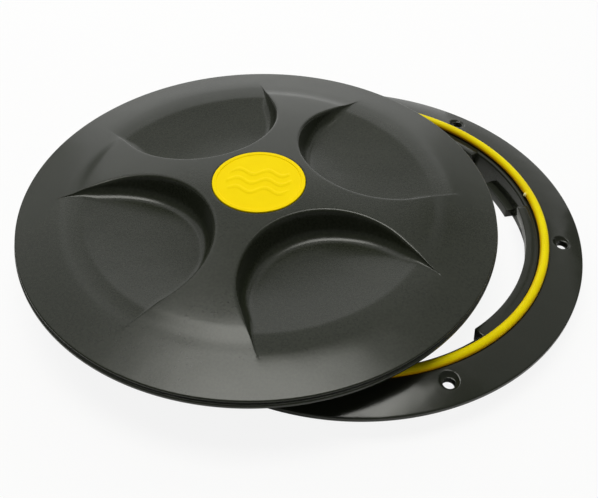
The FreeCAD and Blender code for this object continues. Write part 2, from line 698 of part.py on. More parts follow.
def scoop_floor_edges(shape, dims):
    """Find the edges between a scoop's drafted wall and its floor, ramp and brow."""
    lean = math.sin(math.radians(number(dims["scoop_draft"])))
    found = []
    for index, edge in enumerate(shape.Edges, start=1):
        middle = edge.valueAt((edge.FirstParameter + edge.LastParameter) / 2)
        slopes = []
        for face in shape.ancestorsOfType(edge, Part.Face):
            slopes.append(-face.normalAt(*face.Surface.parameter(middle)).z)
        walls = [slope for slope in slopes if abs(slope - lean) < 0.01]
        floors = [slope for slope in slopes if slope > 0.5]
        if len(walls) == 1 and len(floors) == 1:
            found.append(index)
    return found


def lug_ring(doc, dims):
    """Locking lugs that stand out from the skirt's lower edge."""
    outside = dims["skirt_radius"] + dims["lug_reach"]
    blank = doc.addObject("Part::Cylinder", "LugBlank")
    blank.Placement = FreeCAD.Placement(
        FreeCAD.Vector(0, 0, -number(dims["skirt_depth"])),
        FreeCAD.Rotation(FreeCAD.Vector(0, 0, 1), -number(dims["lug_sweep"]) / 2))
    bind(blank, "Radius", outside)
    bind(blank, "Height", dims["lug_thickness"])
    bind(blank, "Angle", dims["lug_sweep"])
    bind(blank, "Placement.Base.z", -dims["skirt_depth"])
    bind(blank, "Placement.Rotation.Angle", -dims["lug_sweep"] / 2)
    middle = doc.addObject("Part::Cylinder", "LugInside")
    bind(middle, "Radius", dims["skirt_radius"] - dims["wall"] / 2)
    bind(middle, "Height", dims["lug_thickness"])
    bind(middle, "Placement.Base.z", -dims["skirt_depth"])
    lug = doc.addObject("Part::Cut", "Lug")
    lug.Base = blank
    lug.Tool = middle
    return ring_of_links(doc, "Lugs", lug, dims["bayonet_count"], shift=0.5)


def build_lid(doc, dims):
    """Lid: the turned outside less the scoops, the hollow and the badge's seat, plus lugs."""
    outside = lid_outside(doc, dims)
    scoops = ring_of_links(doc, "Scoops", scoop_cutter(doc, dims), dims["scoop_count"])
    hollow = lid_hollow(doc, dims)
    seat = doc.addObject("Part::Cylinder", "BadgeSeat")
    bind(seat, "Radius", dims["badge_radius"] + dims["badge_slack"])
    bind(seat, "Height", dims["dome_height"])
    bind(seat, "Placement.Base.z", dims["badge_seat"])
    shell = outside
    for name, tool in (("LidScooped", scoops), ("LidHollowed", hollow), ("LidSeated", seat)):
        cut = doc.addObject("Part::Cut", name)
        cut.Base = shell
        cut.Tool = tool
        shell = cut
    lid = doc.addObject("Part::MultiFuse", "Lid")
    lid.Shapes = [shell, lug_ring(doc, dims)]
    lid.Refine = True
    lid.Label = "lid"
    lay_lid(lid, dims)
    return lid


def lay_lid(item, dims):
    """Place a piece of the lid where the lid lies, on the seal and off centre."""
    height = (dims["groove_floor"] + dims["cord_diameter"] + dims["lid_gap"] + dims["skirt_depth"])
    item.Placement = FreeCAD.Placement(
        FreeCAD.Vector(number(dims["lid_x"]), number(dims["lid_y"]), number(height)),
        FreeCAD.Rotation(FreeCAD.Vector(0, 0, 1), number(dims["lid_turn"])))
    bind(item, "Placement.Base.x", dims["lid_x"])
    bind(item, "Placement.Base.y", dims["lid_y"])
    bind(item, "Placement.Base.z", height)
    bind(item, "Placement.Rotation.Angle", dims["lid_turn"])


def build_badge(doc, dims):
    """Badge: a round plate with a raised border, seated in the lid's hub."""
    body = doc.addObject("PartDesign::Body", "Badge")
    body.Label = "badge"
    low = dims["badge_seat"]
    high = low + dims["badge_thickness"]
    field = dims["badge_radius"] - dims["badge_border"]
    sketch = body_sketch(body, "BadgeSection", "XZ_Plane")
    edge = Outline(sketch, 0, low)
    edge.line(dims["badge_radius"], low)
    edge.line(dims["badge_radius"], high)
    edge.line(field, high)
    edge.line(field - dims["badge_relief"], high - dims["badge_relief"])
    edge.line(0, high - dims["badge_relief"])
    edge.close()
    turned = revolve(body, "BadgeTurned", sketch)
    doc.recompute()
    bevel = body.newObject("PartDesign::Chamfer", "BadgeBevel")
    bevel.Base = (turned, [circle_name(turned.Shape, dims["badge_radius"], high)])
    bevel.Size = number(dims["badge_bevel"])
    bind(bevel, "Size", dims["badge_bevel"])
    lay_lid(body, dims)
    return body


def check(doc, pieces):
    """Stop if any object failed or a piece is not one sound solid."""
    for item in doc.Objects:
        if "Invalid" in item.State or "Error" in item.State:
            raise RuntimeError("%s did not compute" % item.Name)
    for piece in pieces:
        shape = piece.Shape
        if shape.isNull() or not shape.isValid() or len(shape.Solids) != 1:
            raise RuntimeError("%s is not one sound solid" % piece.Label)


def main():
    """Build the hatch and write each piece to its own file."""
    doc = FreeCAD.newDocument("KayakHatch")
    dims = make_sheet(doc)
    pieces = [
        build_ring(doc, dims),
        build_seal(doc, dims),
        build_lid(doc, dims),
        build_badge(doc, dims),
    ]
    doc.recompute()
    check(doc, pieces)
    os.makedirs("parts", exist_ok=True)
    for piece in pieces:
        piece.Shape.exportStep("parts/%s.step" % piece.Label)
        print("%-10s %9.1f mm3" % (piece.Label, piece.Shape.Volume))


main()
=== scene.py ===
"""Round kayak deck hatch: dresses the deck ring, its seal, the lid and the lid's badge.

Sizes are in millimetres and every mesh is written in metres. The origin is on the ring's
axis in the plane of the deck, +Z up. The lid lies off centre on the seal.
"""

import json
import logging
import math
from dataclasses import dataclass, field
from enum import Enum
from functools import partial
from typing import Callable, Iterable, Sequence, Union

import bmesh
import bpy
import numpy as np
from mathutils import Matrix, Vector
from mathutils.bvhtree import BVHTree
from mathutils.geometry import delaunay_2d_cdt

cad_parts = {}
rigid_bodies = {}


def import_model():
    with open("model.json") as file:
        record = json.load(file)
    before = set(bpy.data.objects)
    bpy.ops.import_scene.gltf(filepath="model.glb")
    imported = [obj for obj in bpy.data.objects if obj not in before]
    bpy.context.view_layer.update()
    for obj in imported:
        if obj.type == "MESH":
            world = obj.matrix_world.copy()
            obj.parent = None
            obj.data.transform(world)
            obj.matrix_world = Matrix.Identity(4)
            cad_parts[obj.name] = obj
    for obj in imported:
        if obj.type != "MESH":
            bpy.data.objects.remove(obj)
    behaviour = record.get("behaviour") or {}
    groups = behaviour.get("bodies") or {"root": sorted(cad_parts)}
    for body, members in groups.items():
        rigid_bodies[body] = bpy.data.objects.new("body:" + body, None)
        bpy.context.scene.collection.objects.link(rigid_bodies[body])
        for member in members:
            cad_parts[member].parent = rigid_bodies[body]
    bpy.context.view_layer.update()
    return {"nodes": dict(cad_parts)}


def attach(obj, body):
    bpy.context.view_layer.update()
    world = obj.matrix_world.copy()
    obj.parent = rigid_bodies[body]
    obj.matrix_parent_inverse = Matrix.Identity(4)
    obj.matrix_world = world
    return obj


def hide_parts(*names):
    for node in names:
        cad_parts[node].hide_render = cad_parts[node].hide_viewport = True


LOG = logging.getLogger("hatch")

Colour = tuple[float, float, float]
Point2 = tuple[float, float]
Point3 = tuple[float, float, float]
Corner = tuple[float, float, float]
Run = tuple[float, float, float]
Grid = np.ndarray
Value = Union["Socket", float]

WHITE: Colour = (1.0, 1.0, 1.0)
MM = 0.001
# A distance that is too small to see, in millimetres
HAIR = 0.01
# Points of a mesh nearer than this many millimetres become one, and so do points in plan
WELD = 0.002
PLAN_WELD = 1e-5
# Edges sharper than this many degrees stay sharp
SHARP = 32.0


class Slot(Enum):
    """Names of the pieces' material slots, the same as their materials' names."""

    RING = "ring_plastic"
    SEAL = "seal_rubber"
    LID = "lid_plastic"
    BADGE = "badge_plastic"


# Shader expressions

class Socket:
    """A shader output that can be used in Python arithmetic."""

    def __init__(self, shader: "Shader", output: bpy.types.NodeSocket | None) -> None:
        """Hold an output of a shader's node."""
        self.shader = shader
        self.output = output

    def _maths(self, operation: str, first: Value, second: Value) -> "Socket":
        """Join two values by a Math node."""
        return self.shader.node(
            "ShaderNodeMath", {"operation": operation}, {0: first, 1: second})

    def __add__(self, other: Value) -> "Socket":
        """Return self + other."""
        return self._maths("ADD", self, other)

    __radd__ = __add__

    def __sub__(self, other: Value) -> "Socket":
        """Return self - other."""
        return self._maths("SUBTRACT", self, other)

    def __rsub__(self, other: Value) -> "Socket":
        """Return other - self."""
        return self._maths("SUBTRACT", other, self)

    def __mul__(self, other: Value) -> "Socket":
        """Return self * other."""
        return self._maths("MULTIPLY", self, other)

    __rmul__ = __mul__

    def band(self, low: float, high: float) -> "Socket":
        """Rise smoothly from 0 at low to 1 at high.

        Args:
            low: value where the result is 0.
            high: value where the result is 1.

        Returns:
            The eased value, held between 0 and 1.
        """
        return self.shader.node(
            "ShaderNodeMapRange", {"interpolation_type": "SMOOTHSTEP"},
            {"Value": self, "From Min": low, "From Max": high})


class Shader:
    """The node tree of a material or a world, built through one method."""

    def __init__(self, owner: bpy.types.Material | bpy.types.World) -> None:
        """Empty the tree of a new material or world.

        Args:
            owner: the material or the world.
        """
        self.owner = owner
        owner.use_nodes = True
        self.tree = owner.node_tree
        self.tree.nodes.clear()

    def node(self, kind: str, settings: dict[str, object] | None = None,
             sockets: dict[str | int, object] | None = None, output: str | int = 0) -> Socket:
        """Add a node, set it up, and fill or link its sockets.

        Args:
            kind: the node's type.
            settings: properties that are set before the sockets are.
            sockets: values or other nodes' outputs, by socket name or number.
            output: name or number of the output to return.

        Returns:
            The chosen output, which is empty for a node that has none.
        """
        made = self.tree.nodes.new(kind)
        for name, value in (settings or {}).items():
            setattr(made, name, value)
        for name, value in (sockets or {}).items():
            if isinstance(value, Socket):
                self.tree.links.new(value.output, made.inputs[name])
            else:
                made.inputs[name].default_value = value
        return Socket(self, made.outputs[output] if made.outputs else None)

    def mix(self, share: Value, first: Socket | Colour, second: Socket | Colour) -> Socket:
        """Mix two colours.

        Args:
            share: 0 gives the first colour, 1 the second.
            first: a colour or an output.
            second: a colour or an output.

        Returns:
            The mixed colour.
        """
        ends = {}
        for name, value in ((6, first), (7, second)):
            ends[name] = value if isinstance(value, Socket) else (*value, 1.0)
        return self.node("ShaderNodeMix", {"data_type": "RGBA"}, {0: share, **ends}, output=2)

    def place(self) -> Socket:
        """Return the point on the object, in metres in the object's own frame."""
        return self.node("ShaderNodeTexCoord", output="Object")

    def noise(self, scale: float, detail: float, rough: float) -> Socket:
        """Return a noise value between 0 and 1 over the object.

        Args:
            scale: cells to the metre.
            detail: number of finer layers.
            rough: share of each finer layer.

        Returns:
            The noise value.
        """
        return self.node("ShaderNodeTexNoise", {"noise_dimensions": "3D"}, {
            "Vector": self.place(), "Scale": scale, "Detail": detail, "Roughness": rough})

    def bump(self, height: Socket, distance: float, under: Socket | None = None) -> Socket:
        """Turn a height into a normal.

        Args:
            height: the height value.
            distance: height in metres that a value of 1 stands for.
            under: a normal to start from.

        Returns:
            The changed normal.
        """
        sockets = {"Height": height, "Distance": distance}
        if under is not None:
            sockets["Normal"] = under
        return self.node("ShaderNodeBump", {}, sockets)

    def surface(self, **sockets: object) -> bpy.types.Material:
        """Close the material with a Principled surface.

        Args:
            **sockets: its sockets by name, underscores for spaces.

        Returns:
            The finished material.
        """
        named = {name.replace("_", " "): value for name, value in sockets.items()}
        named["Specular IOR Level"] = named.pop("Specular")
        body = self.node("ShaderNodeBsdfPrincipled", {}, named)
        self.node("ShaderNodeOutputMaterial", {}, {"Surface": body})
        return self.owner


# Finishes: scales are in cells to the metre, depths and places in metres

@dataclass(frozen=True)
class MouldedPlastic:
    """Dark injection-moulded plastic with a fine spark-eroded grain."""

    name: str
    colour: Colour
    bloom: Colour
    roughness: float
    spread: float
    grain: float
    grain_depth: float
    ripple: float
    ripple_depth: float
    specular: float
    drift: float = 22.0
    drift_share: float = 0.35
    speck_share: float = 0.65
    speck_size: float = 0.8

    def material(self) -> bpy.types.Material:
        """Build the finish as a material.

        Returns:
            The material.
        """
        shader = Shader(bpy.data.materials.new(self.name))
        drift = shader.noise(self.drift, detail=3.0, rough=0.6)
        speck = shader.noise(self.grain * self.speck_size, detail=2.0, rough=0.6)
        grain = shader.noise(self.grain, detail=1.0, rough=0.5)
        ripple = shader.noise(self.ripple, detail=1.0, rough=0.4)
        tone = drift.band(0.35, 0.75) * self.drift_share + speck.band(0.3, 0.7) * self.speck_share
        rough = self.roughness + (speck - 0.5) * self.spread + (drift - 0.5) * self.spread
        swell = shader.bump(ripple, self.ripple_depth)
        return shader.surface(
            Base_Color=shader.mix(tone, self.colour, self.bloom), Roughness=rough,
            Normal=shader.bump(grain, self.grain_depth, under=swell), Specular=self.specular)


@dataclass(frozen=True)
class SealRubber:
    """Smooth yellow rubber cord: a faint bloom, painted shade in orange low on the cord, and a
    pale glued joint that also carries a painted highlight.
    """

    name: str = "seal_rubber"
    colour: Colour = (0.95, 0.80, 0.0005)
    deep: Colour = (0.85, 0.67, 0.0005)
    # Painted shade: an orange that the cord takes low on its sides, fully below the lower height
    # and not at all above the upper one, in metres.
    painted_shade: Colour = (0.95, 0.38, 0.001)
    painted_shade_top: float = 0.0088
    painted_shade_low: float = 0.0050
    # Pale glue colour at the joint, also a painted highlight on the nub, with its place and reach
    # in metres.
    joint_and_highlight: Colour = (0.95, 0.90, 0.45)
    joint_and_highlight_place: Point3 = (0.0991, 0.0279, 0.0067)
    joint_and_highlight_radius: float = 0.0016
    patch: float = 60.0
    skin: float = 1500.0
    skin_depth: float = 0.00004
    roughness: float = 0.34
    spread: float = 0.2
    specular: float = 0.07

    def material(self) -> bpy.types.Material:
        """Build the rubber as a material.

        Returns:
            The material.
        """
        shader = Shader(bpy.data.materials.new(self.name))
        patches = shader.noise(self.patch, detail=3.0, rough=0.55)
        skin = shader.noise(self.skin, detail=2.0, rough=0.5)
        height = shader.node("ShaderNodeSeparateXYZ", {}, {0: shader.place()}, output="Z")
        away = shader.node("ShaderNodeVectorMath", {"operation": "DISTANCE"}, {
            0: shader.place(), 1: self.joint_and_highlight_place}, output="Value")
        # The glue patch and painted highlight round the nub: 1 at its middle, 0 beyond the
        # radius.
        glue_and_highlight = 1.0 - away.band(self.joint_and_highlight_radius * 0.5, self.joint_and_highlight_radius)
        colour = shader.mix(patches.band(0.3, 0.8), self.colour, self.deep)
        # Painted shade: the cord turns orange towards its foot, standing in for the shade on its
        # lower sides.
        colour = shader.mix(height.band(self.painted_shade_low, self.painted_shade_top), self.painted_shade, colour)
        return shader.surface(
            Base_Color=shader.mix(glue_and_highlight, colour, self.joint_and_highlight),
            Roughness=self.roughness + (patches - 0.5) * self.spread,
            Normal=shader.bump(skin, self.skin_depth), Specular=self.specular)


@dataclass(frozen=True)
class BadgePlastic:
    """Yellow plastic of the badge, with a faint drift in its colour."""

    name: str = "badge_plastic"
    colour: Colour = (1.0, 0.745, 0.0)
    deep: Colour = (0.98, 0.72, 0.0)
    deep_share: float = 0.7
    drift: float = 120.0
    skin: float = 2600.0
    skin_depth: float = 0.00003
    roughness: float = 0.5
    spread: float = 0.2
    specular: float = 0.04

    def material(self) -> bpy.types.Material:
        """Build the badge's plastic as a material.

        Returns:
            The material.
        """
        shader = Shader(bpy.data.materials.new(self.name))
        drift = shader.noise(self.drift, detail=2.0, rough=0.5)
        skin = shader.noise(self.skin, detail=2.0, rough=0.6)
        colour = shader.mix(drift.band(0.35, 0.75) * self.deep_share, self.colour, self.deep)
        return shader.surface(
            Base_Color=colour, Roughness=self.roughness + (skin - 0.5) * self.spread,
            Normal=shader.bump(skin, self.skin_depth), Specular=self.specular)


@dataclass(frozen=True)
class Backdrop:
    """Pale floor that looks nearly white to the camera and keeps the shadow."""

    name: str = "studio_floor"
    colour: Colour = (0.90, 0.90, 0.90)
    lift: float = 0.88

    def material(self) -> bpy.types.Material:
        """Build the floor as a material.

        Returns:
            The material.
        """
        shader = Shader(bpy.data.materials.new(self.name))
        body = shader.node("ShaderNodeBsdfDiffuse", {}, {"Color": (*self.colour, 1.0)})
        glow = shader.node("ShaderNodeEmission", {}, {"Color": (*WHITE, 1.0)})
        seen = shader.node("ShaderNodeLightPath", output="Is Camera Ray")
        both = shader.node("ShaderNodeMixShader", {}, {0: seen * self.lift, 1: body, 2: glow})
        shader.node("ShaderNodeOutputMaterial", {}, {"Surface": both})
        return shader.owner


# Mesh tools

def rounded_line(corners: Sequence[Corner], steps: int) -> list[Point2]:
    """Round the corners of an open line in section.

    Args:
        corners: radius, height and corner radius of each point; the ends stay sharp.
        steps: number of runs that each rounded corner is given.

    Returns:
        Points along the rounded line.
    """
    out: list[Point2] = [corners[0][:2]]
    for before, here, after in zip(corners, corners[1:], corners[2:]):
        corner = np.array(here[:2])
        back = np.array(before[:2]) - corner
        ahead = np.array(after[:2]) - corner
        back /= np.linalg.norm(back)
        ahead /= np.linalg.norm(ahead)
        half = math.acos(max(-1.0, min(1.0, float(back @ ahead)))) / 2
        reach = here[2] / math.tan(half)
        middle = (back + ahead) / np.linalg.norm(back + ahead)
        centre = corner + middle * here[2] / math.sin(half)
        start = corner + back * reach - centre
        end = corner + ahead * reach - centre
        turn = math.atan2(start[0] * end[1] - start[1] * end[0], float(start @ end))
        for step in range(steps + 1):
            angle = turn * step / steps
            spin = np.array([[math.cos(angle), -math.sin(angle)],
                             [math.sin(angle), math.cos(angle)]])
            out.append(tuple(centre + spin @ start))
    out.append(corners[-1][:2])
    return out


def circle_points(radius: float, count: int, centre: Point2 = (0.0, 0.0),
                  start: float = 0.0) -> Grid:
    """Return evenly spaced points on a circle.

    Args:
        radius: radius of the circle.
        count: number of points.
        centre: centre of the circle.
        start: angle of the first point in radians.

    Returns:
        An array of count rows, x and y.
    """
    turn = start + np.arange(count) * (2 * math.pi / count)
    return np.column_stack((centre[0] + radius * np.cos(turn), centre[1] + radius * np.sin(turn)))


def grid_faces(rows: int, around: int, closed: bool = False) -> list[tuple[int, ...]]:
    """Number the faces between rows of points, where each row runs round into itself.

    Args:
        rows: number of rows.
        around: number of points in a row.
        closed: True joins the last row to the first.

    Returns:
        Four corner numbers for each face.
    """
    faces = []
    for row in range(rows if closed else rows - 1):
        here, there = row * around, (row + 1) % rows * around
        for index in range(around):
            beside = (index + 1) % around
            faces.append((here + index, there + index, there + beside, here + beside))
    return faces


def soft_min(first: Grid, second: Grid, blend: float) -> Grid:
    """Return the lower of two heights, blended where they are close.

    Args:
        first: heights.
        second: heights.
        blend: distance in height over which they blend.

    Returns:
        The blended lower height.
    """
    near = np.clip(0.5 + 0.5 * (second - first) / blend, 0.0, 1.0)
    return second + (first - second) * near - blend * near * (1.0 - near)


def eased(share: Grid) -> Grid:
    """Ease a share between 0 and 1 at both ends."""
    return share * share * (3 - 2 * share)


def climbed(slopes: Sequence[Point2], places: Grid) -> Grid:
    """Add up the rise of a line from its slopes.

    Args:
        slopes: place and slope in degrees of some points of the line.
        places: even places to add it up at.

    Returns:
        The height at each place, from 0 at the first.
    """
    known, degrees = np.array(slopes).T
    rise = np.tan(np.radians(np.interp(places, known, degrees)))
    step = places[1] - places[0]
    return np.concatenate(([0.0], np.cumsum((rise[1:] + rise[:-1]) / 2 * step)))


def finish_edges(mesh: bpy.types.Mesh, angle: float) -> None:
    """Shade a mesh smooth, apart from its sharp edges.

    Args:
        mesh: the mesh.
        angle: edges sharper than this many degrees stay sharp.
    """
    mesh.shade_smooth()
    mesh.set_sharp_from_angle(angle=math.radians(angle))
    mesh.update()


def added(name: str, data: bpy.types.ID) -> bpy.types.Object:
    """Put a mesh, a lamp or a camera into the scene as a new object.

    Args:
        name: the object's name.
        data: what it shows.

    Returns:
        The object.
    """
    item = bpy.data.objects.new(name, data)
    bpy.context.scene.collection.objects.link(item)
    return item


def settle(item: bpy.types.Object) -> None:
    """Write an object's modifiers into its mesh.

    Args:
        item: the object.
    """
    graph = bpy.context.evaluated_depsgraph_get()
    mesh = bpy.data.meshes.new_from_object(item.evaluated_get(graph))
    old = item.data
    item.modifiers.clear()
    item.data = mesh
    bpy.data.meshes.remove(old)


def dress(item: bpy.types.Object, material: bpy.types.Material, slot: Slot, node: str) -> None:
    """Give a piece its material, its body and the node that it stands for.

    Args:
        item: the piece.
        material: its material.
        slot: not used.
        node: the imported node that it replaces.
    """
    item.data.materials.clear()
    item.data.materials.append(material)
    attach(item, "root")
    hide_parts(node)


class MeshDraft:
    """Points and faces in millimetres, joined into one mesh at the end."""

    def __init__(self) -> None:
        """Start with no points and no faces."""
        self.points: list[Grid] = []
        self.faces: list[tuple[int, ...]] = []
        self.count = 0

    def add(self, points: Grid, faces: Iterable[Sequence[int]]) -> None:
        """Add points and the faces between them.

        Args:
            points: an array with x, y and z in each row.
            faces: corner numbers of each face, counted within these points.
        """
        self.points.append(np.asarray(points, dtype=float))
        self.faces += [tuple(int(corner) + self.count for corner in face) for face in faces]
        self.count += len(points)

    def lathe(self, line: Sequence[Point2], count: int, centre: Point2 = (0.0, 0.0)) -> None:
        """Turn a line in section about an upright axis.

        Args:
            line: radius and height of each point; faces look to the line's right.
            count: number of points round each circle.
            centre: place of the axis.
        """
        rows = []
        for radius, height in line:
            flat = circle_points(radius, count, centre)
            rows.append(np.column_stack((flat, np.full(count, height))))
        faces = grid_faces(len(line), count)
        self.add(np.vstack(rows), [(first, fourth, third, second)
                                   for first, second, third, fourth in faces])

    def skin(self, flat: Grid, height: Callable[[Grid, Grid], Grid],
             keep: Callable[[Grid, Grid], Grid], up: bool = True) -> None:
        """Span a height over scattered points.

        Args:
            flat: x and y of each point.
            height: gives the height at places.
            keep: tells at which places a triangle's middle may lie.
            up: True turns the faces upwards.
        """
        verts, _, faces, *_ = delaunay_2d_cdt(
            [Vector(point) for point in flat.tolist()], [], [], 0, PLAN_WELD)
        plan = np.array([(vert.x, vert.y) for vert in verts])
        corners = np.array([tuple(face) for face in faces])
        middles = plan[corners].mean(axis=1)
        corners = corners[keep(middles[:, 0], middles[:, 1])]
        first, second, third = (plan[corners[:, index]] for index in range(3))
        area = np.cross(second - first, third - first)
        flip = area < 0 if up else area > 0
        corners[flip] = corners[flip][:, ::-1]
        solid = np.column_stack((plan, height(plan[:, 0], plan[:, 1])))
        self.add(solid, corners.tolist())

    def make(self, name: str, place: Matrix | None = None, weld: float = WELD,
             sharp: float = SHARP) -> bpy.types.Object:
        """Join everything into one object in metres.

        Args:
            name: the object's name.
            place: moves the points, still in millimetres.
            weld: points nearer than this many millimetres become one.
            sharp: edges sharper than this many degrees stay sharp.

        Returns:
            The object.
        """
        mesh = bpy.data.meshes.new(name)
        mesh.from_pydata(np.vstack(self.points).tolist(), [], self.faces)
        if place is not None:
            mesh.transform(place)
        mesh.transform(Matrix.Scale(MM, 4))
        work = bmesh.new()
        work.from_mesh(mesh)
        bmesh.ops.remove_doubles(work, verts=work.verts, dist=weld * MM)
        loose = [vert for vert in work.verts if not vert.link_faces]
        bmesh.ops.delete(work, geom=loose, context="VERTS")
        work.to_mesh(mesh)
        work.free()
        finish_edges(mesh, sharp)
        return added(name, mesh)


# The deck ring

@dataclass
class DeckRing:
    """Flange, collar and groove with cam ledges, stops, tabs and screw holes."""

    outside: float = 127.0
    edge: float = 2.5
    shoulder: float = 6.0
    crown: float = 90.0
    bore: float = 101.2
    wall: float = 3.2
    depth: float = 12.5
    lip: float = 4.6
    floor: float = 3.9
    groove_in: float = 103.5
    groove_out: float = 108.6
    edge_round: float = 0.72
    foot_round: float = 0.3
    root_round: float = 0.4
    collar_round: float = 0.8
    lip_round: float = 1.5
    groove_lip_round: float = 0.6
    groove_foot_round: float = 0.05
    groove_side_round: float = 0.3
    mouth_round: float = 0.6
    ledge_reach: float = 4.6
    ledge_thickness: float = 7.3
    cam_rise: float = 0.7
    ledge_draft: float = 8.0
    ledge_turn: float = -48.3
    ledge_sweep: float = 60.3
    ledge_round: float = 0.7
    stop_lag: float = 0.05
    stop_sweep: float = 3.0
    stop_depth: float = 4.0
    stop_bite: float = 1.0
    stop_set: float = 1.8
    stop_round: float = 0.3
    tab_turn: float = 17.5
    tab_sweep: float = 15.5
    tab_height: float = 5.5
    tab_round: float = 0.5
    repeat: int = 4
    screws: int = 6
    screw_circle: float = 116.2
    screw_hole: float = 3.0
    screw_turn: float = -4.0
    sink_height: float = 6.0
    sink_low: float = 3.4
    sink_radius: float = 5.5
    sink_hollow: float = 1.6
    sink_blend: float = 0.35
    # How finely the meshes are cut
    segments: int = 480
    hole_segments: int = 64
    sweep_step: float = 1.5
    bevel_angle: float = 40.0
    bevel_steps: int = 3
    edge_steps: int = 6
    collar_steps: int = 5
    # A triangle of points on one hole's circle has its middle within this share of the radius
    hole_share: float = 0.999
    top_step: float = 1.4
    under_step: float = 6.0
    top_margin: float = 1.0
    root_margin: float = 0.6
    foot_margin: float = 0.5
    sink_clear: float = 5.9
    hole_clear: float = 3.8
    sink_grades: tuple[float, ...] = (
        0.0, 0.12, 0.35, 0.7, 1.0, 1.2, 1.4, 1.6, 1.8, 2.05, 2.4, 2.75)
    finish: MouldedPlastic = field(default_factory=lambda: MouldedPlastic(
        name="ring_plastic", colour=(0.0162, 0.0186, 0.0118), bloom=(0.0232, 0.0258, 0.0176),
        roughness=0.16, spread=0.08, grain=2600.0, grain_depth=0.00001,
        ripple=70.0, ripple_depth=0.0003, specular=0.36))

    def screw_places(self) -> list[Point2]:
        """Return the centres of the screw holes."""
        turns = [math.radians(self.screw_turn + 360.0 * index / self.screws)
                 for index in range(self.screws)]
        return [(self.screw_circle * math.cos(turn), self.screw_circle * math.sin(turn))
                for turn in turns]

    def screw_distance(self, x: Grid, y: Grid) -> Grid:
        """Return the distance of each place from the nearest screw's axis."""
        gaps = [np.hypot(x - place[0], y - place[1]) for place in self.screw_places()]
        return np.minimum.reduce(gaps)

    def crown_height(self, radius: Grid) -> Grid:
        """Work out the flange's crowned top, an arc from its edge to the groove.

        Args:
            radius: distances from the ring's axis.

        Returns:
            The height at each.
        """
        run = self.outside - self.groove_out
        rise = self.shoulder - self.edge
        chord = math.hypot(run, rise)
        middle = ((self.outside + self.groove_out) / 2, (self.edge + self.shoulder) / 2)
        back = math.sqrt(self.crown ** 2 - (chord / 2) ** 2)
        centre = (middle[0] - back * rise / chord, middle[1] - back * run / chord)
        return centre[1] + np.sqrt(self.crown ** 2 - (radius - centre[0]) ** 2)

    def crown_at(self, radius: float) -> float:
        """Return the height of the flange's crowned top at one radius."""
        return float(self.crown_height(np.array(radius)))

    def top_height(self, x: Grid, y: Grid) -> Grid:
        """Work out the flange's top with a hollow countersink round each screw hole.

        Args:
            x: places along X.
            y: places along Y.

        Returns:
            The height at each place.
        """
        crown = self.crown_height(np.hypot(x, y))
        share = np.clip(self.screw_distance(x, y) - self.screw_hole, 0.0, None)
        share = share / (self.sink_radius - self.screw_hole)
        sink = self.sink_low + (self.sink_height - self.sink_low) * share ** self.sink_hollow
        return soft_min(crown, sink, self.sink_blend)

    def on_flange(self, low: float, high: float, x: Grid, y: Grid) -> Grid:
        """Tell which places lie between two radii and clear of the screw holes.

        Args:
            low: inner radius.
            high: outer radius.
            x: places along X.
            y: places along Y.

        Returns:
            True at each such place.
        """
        radius = np.hypot(x, y)
        solid = self.screw_distance(x, y) > self.screw_hole * self.hole_share
        return (radius > low - HAIR) & (radius < high + HAIR) & solid

    def flange_points(self, inner: float, outer: float, step: float, sunk: bool) -> Grid:
        """Scatter points over the flange, close together round the screw holes.

        Args:
            inner: radius of the innermost circle.
            outer: radius of the outermost circle.
            step: distance between circles.
            sunk: True adds the circles of the countersinks.

        Returns:
            x and y of each point.
        """
        radii = np.linspace(inner, outer, max(2, int(round((outer - inner) / step)) + 1))
        rings = []
        clear = self.sink_clear if sunk else self.hole_clear
        for radius in radii:
            ring = circle_points(float(radius), self.segments)
            if inner < radius < outer:
                ring = ring[self.screw_distance(ring[:, 0], ring[:, 1]) > clear]
            rings.append(ring)
        for place in self.screw_places():
            for grade in self.sink_grades if sunk else (0.0,):
                rings.append(circle_points(self.screw_hole + grade, self.hole_segments, place))
        return np.vstack(rings)

    def turned_body(self) -> MeshDraft:
        """Build flange, collar and groove with the screw holes left open.

        Returns:
            The shell, closed all round.
        """
        top_in = self.groove_out + self.top_margin
        top_out = self.outside - self.top_margin
        wall_out = self.bore + self.wall
        under_in = wall_out + self.root_margin
        under_out = self.outside - self.foot_margin
        draft = MeshDraft()
        draft.skin(self.flange_points(top_in, top_out, self.top_step, True), self.top_height,
                   partial(self.on_flange, top_in, top_out))
        draft.skin(self.flange_points(under_in, under_out, self.under_step, False),
                   lambda x, y: np.zeros_like(x), partial(self.on_flange, under_in, under_out),
                   up=False)
        draft.lathe(rounded_line([
            (top_out, self.crown_at(top_out), 0.0),
            (self.outside, self.crown_at(self.outside), self.edge_round),
            (self.outside, 0.0, self.foot_round),
            (under_out, 0.0, 0.0)], self.edge_steps)[::-1], self.segments)
        draft.lathe(rounded_line([
            (under_in, 0.0, 0.0),
            (wall_out, 0.0, self.root_round),
            (wall_out, -self.depth, self.collar_round),
            (self.bore, -self.depth, self.collar_round),
            (self.bore, self.lip, self.lip_round),
            (self.groove_in, self.lip, self.groove_lip_round),
            (self.groove_in, self.floor, self.groove_foot_round),
            (self.groove_out, self.floor, self.groove_side_round),
            (self.groove_out, self.crown_at(self.groove_out), self.mouth_round),
            (top_in, self.crown_at(top_in), 0.0)], self.collar_steps)[::-1], self.segments)
        for place in self.screw_places():
            low = float(self.top_height(np.array(place[0] + self.screw_hole), np.array(place[1])))
            draft.lathe([(self.screw_hole, 0.0), (self.screw_hole, low)], self.hole_segments,
                        place)
        return draft

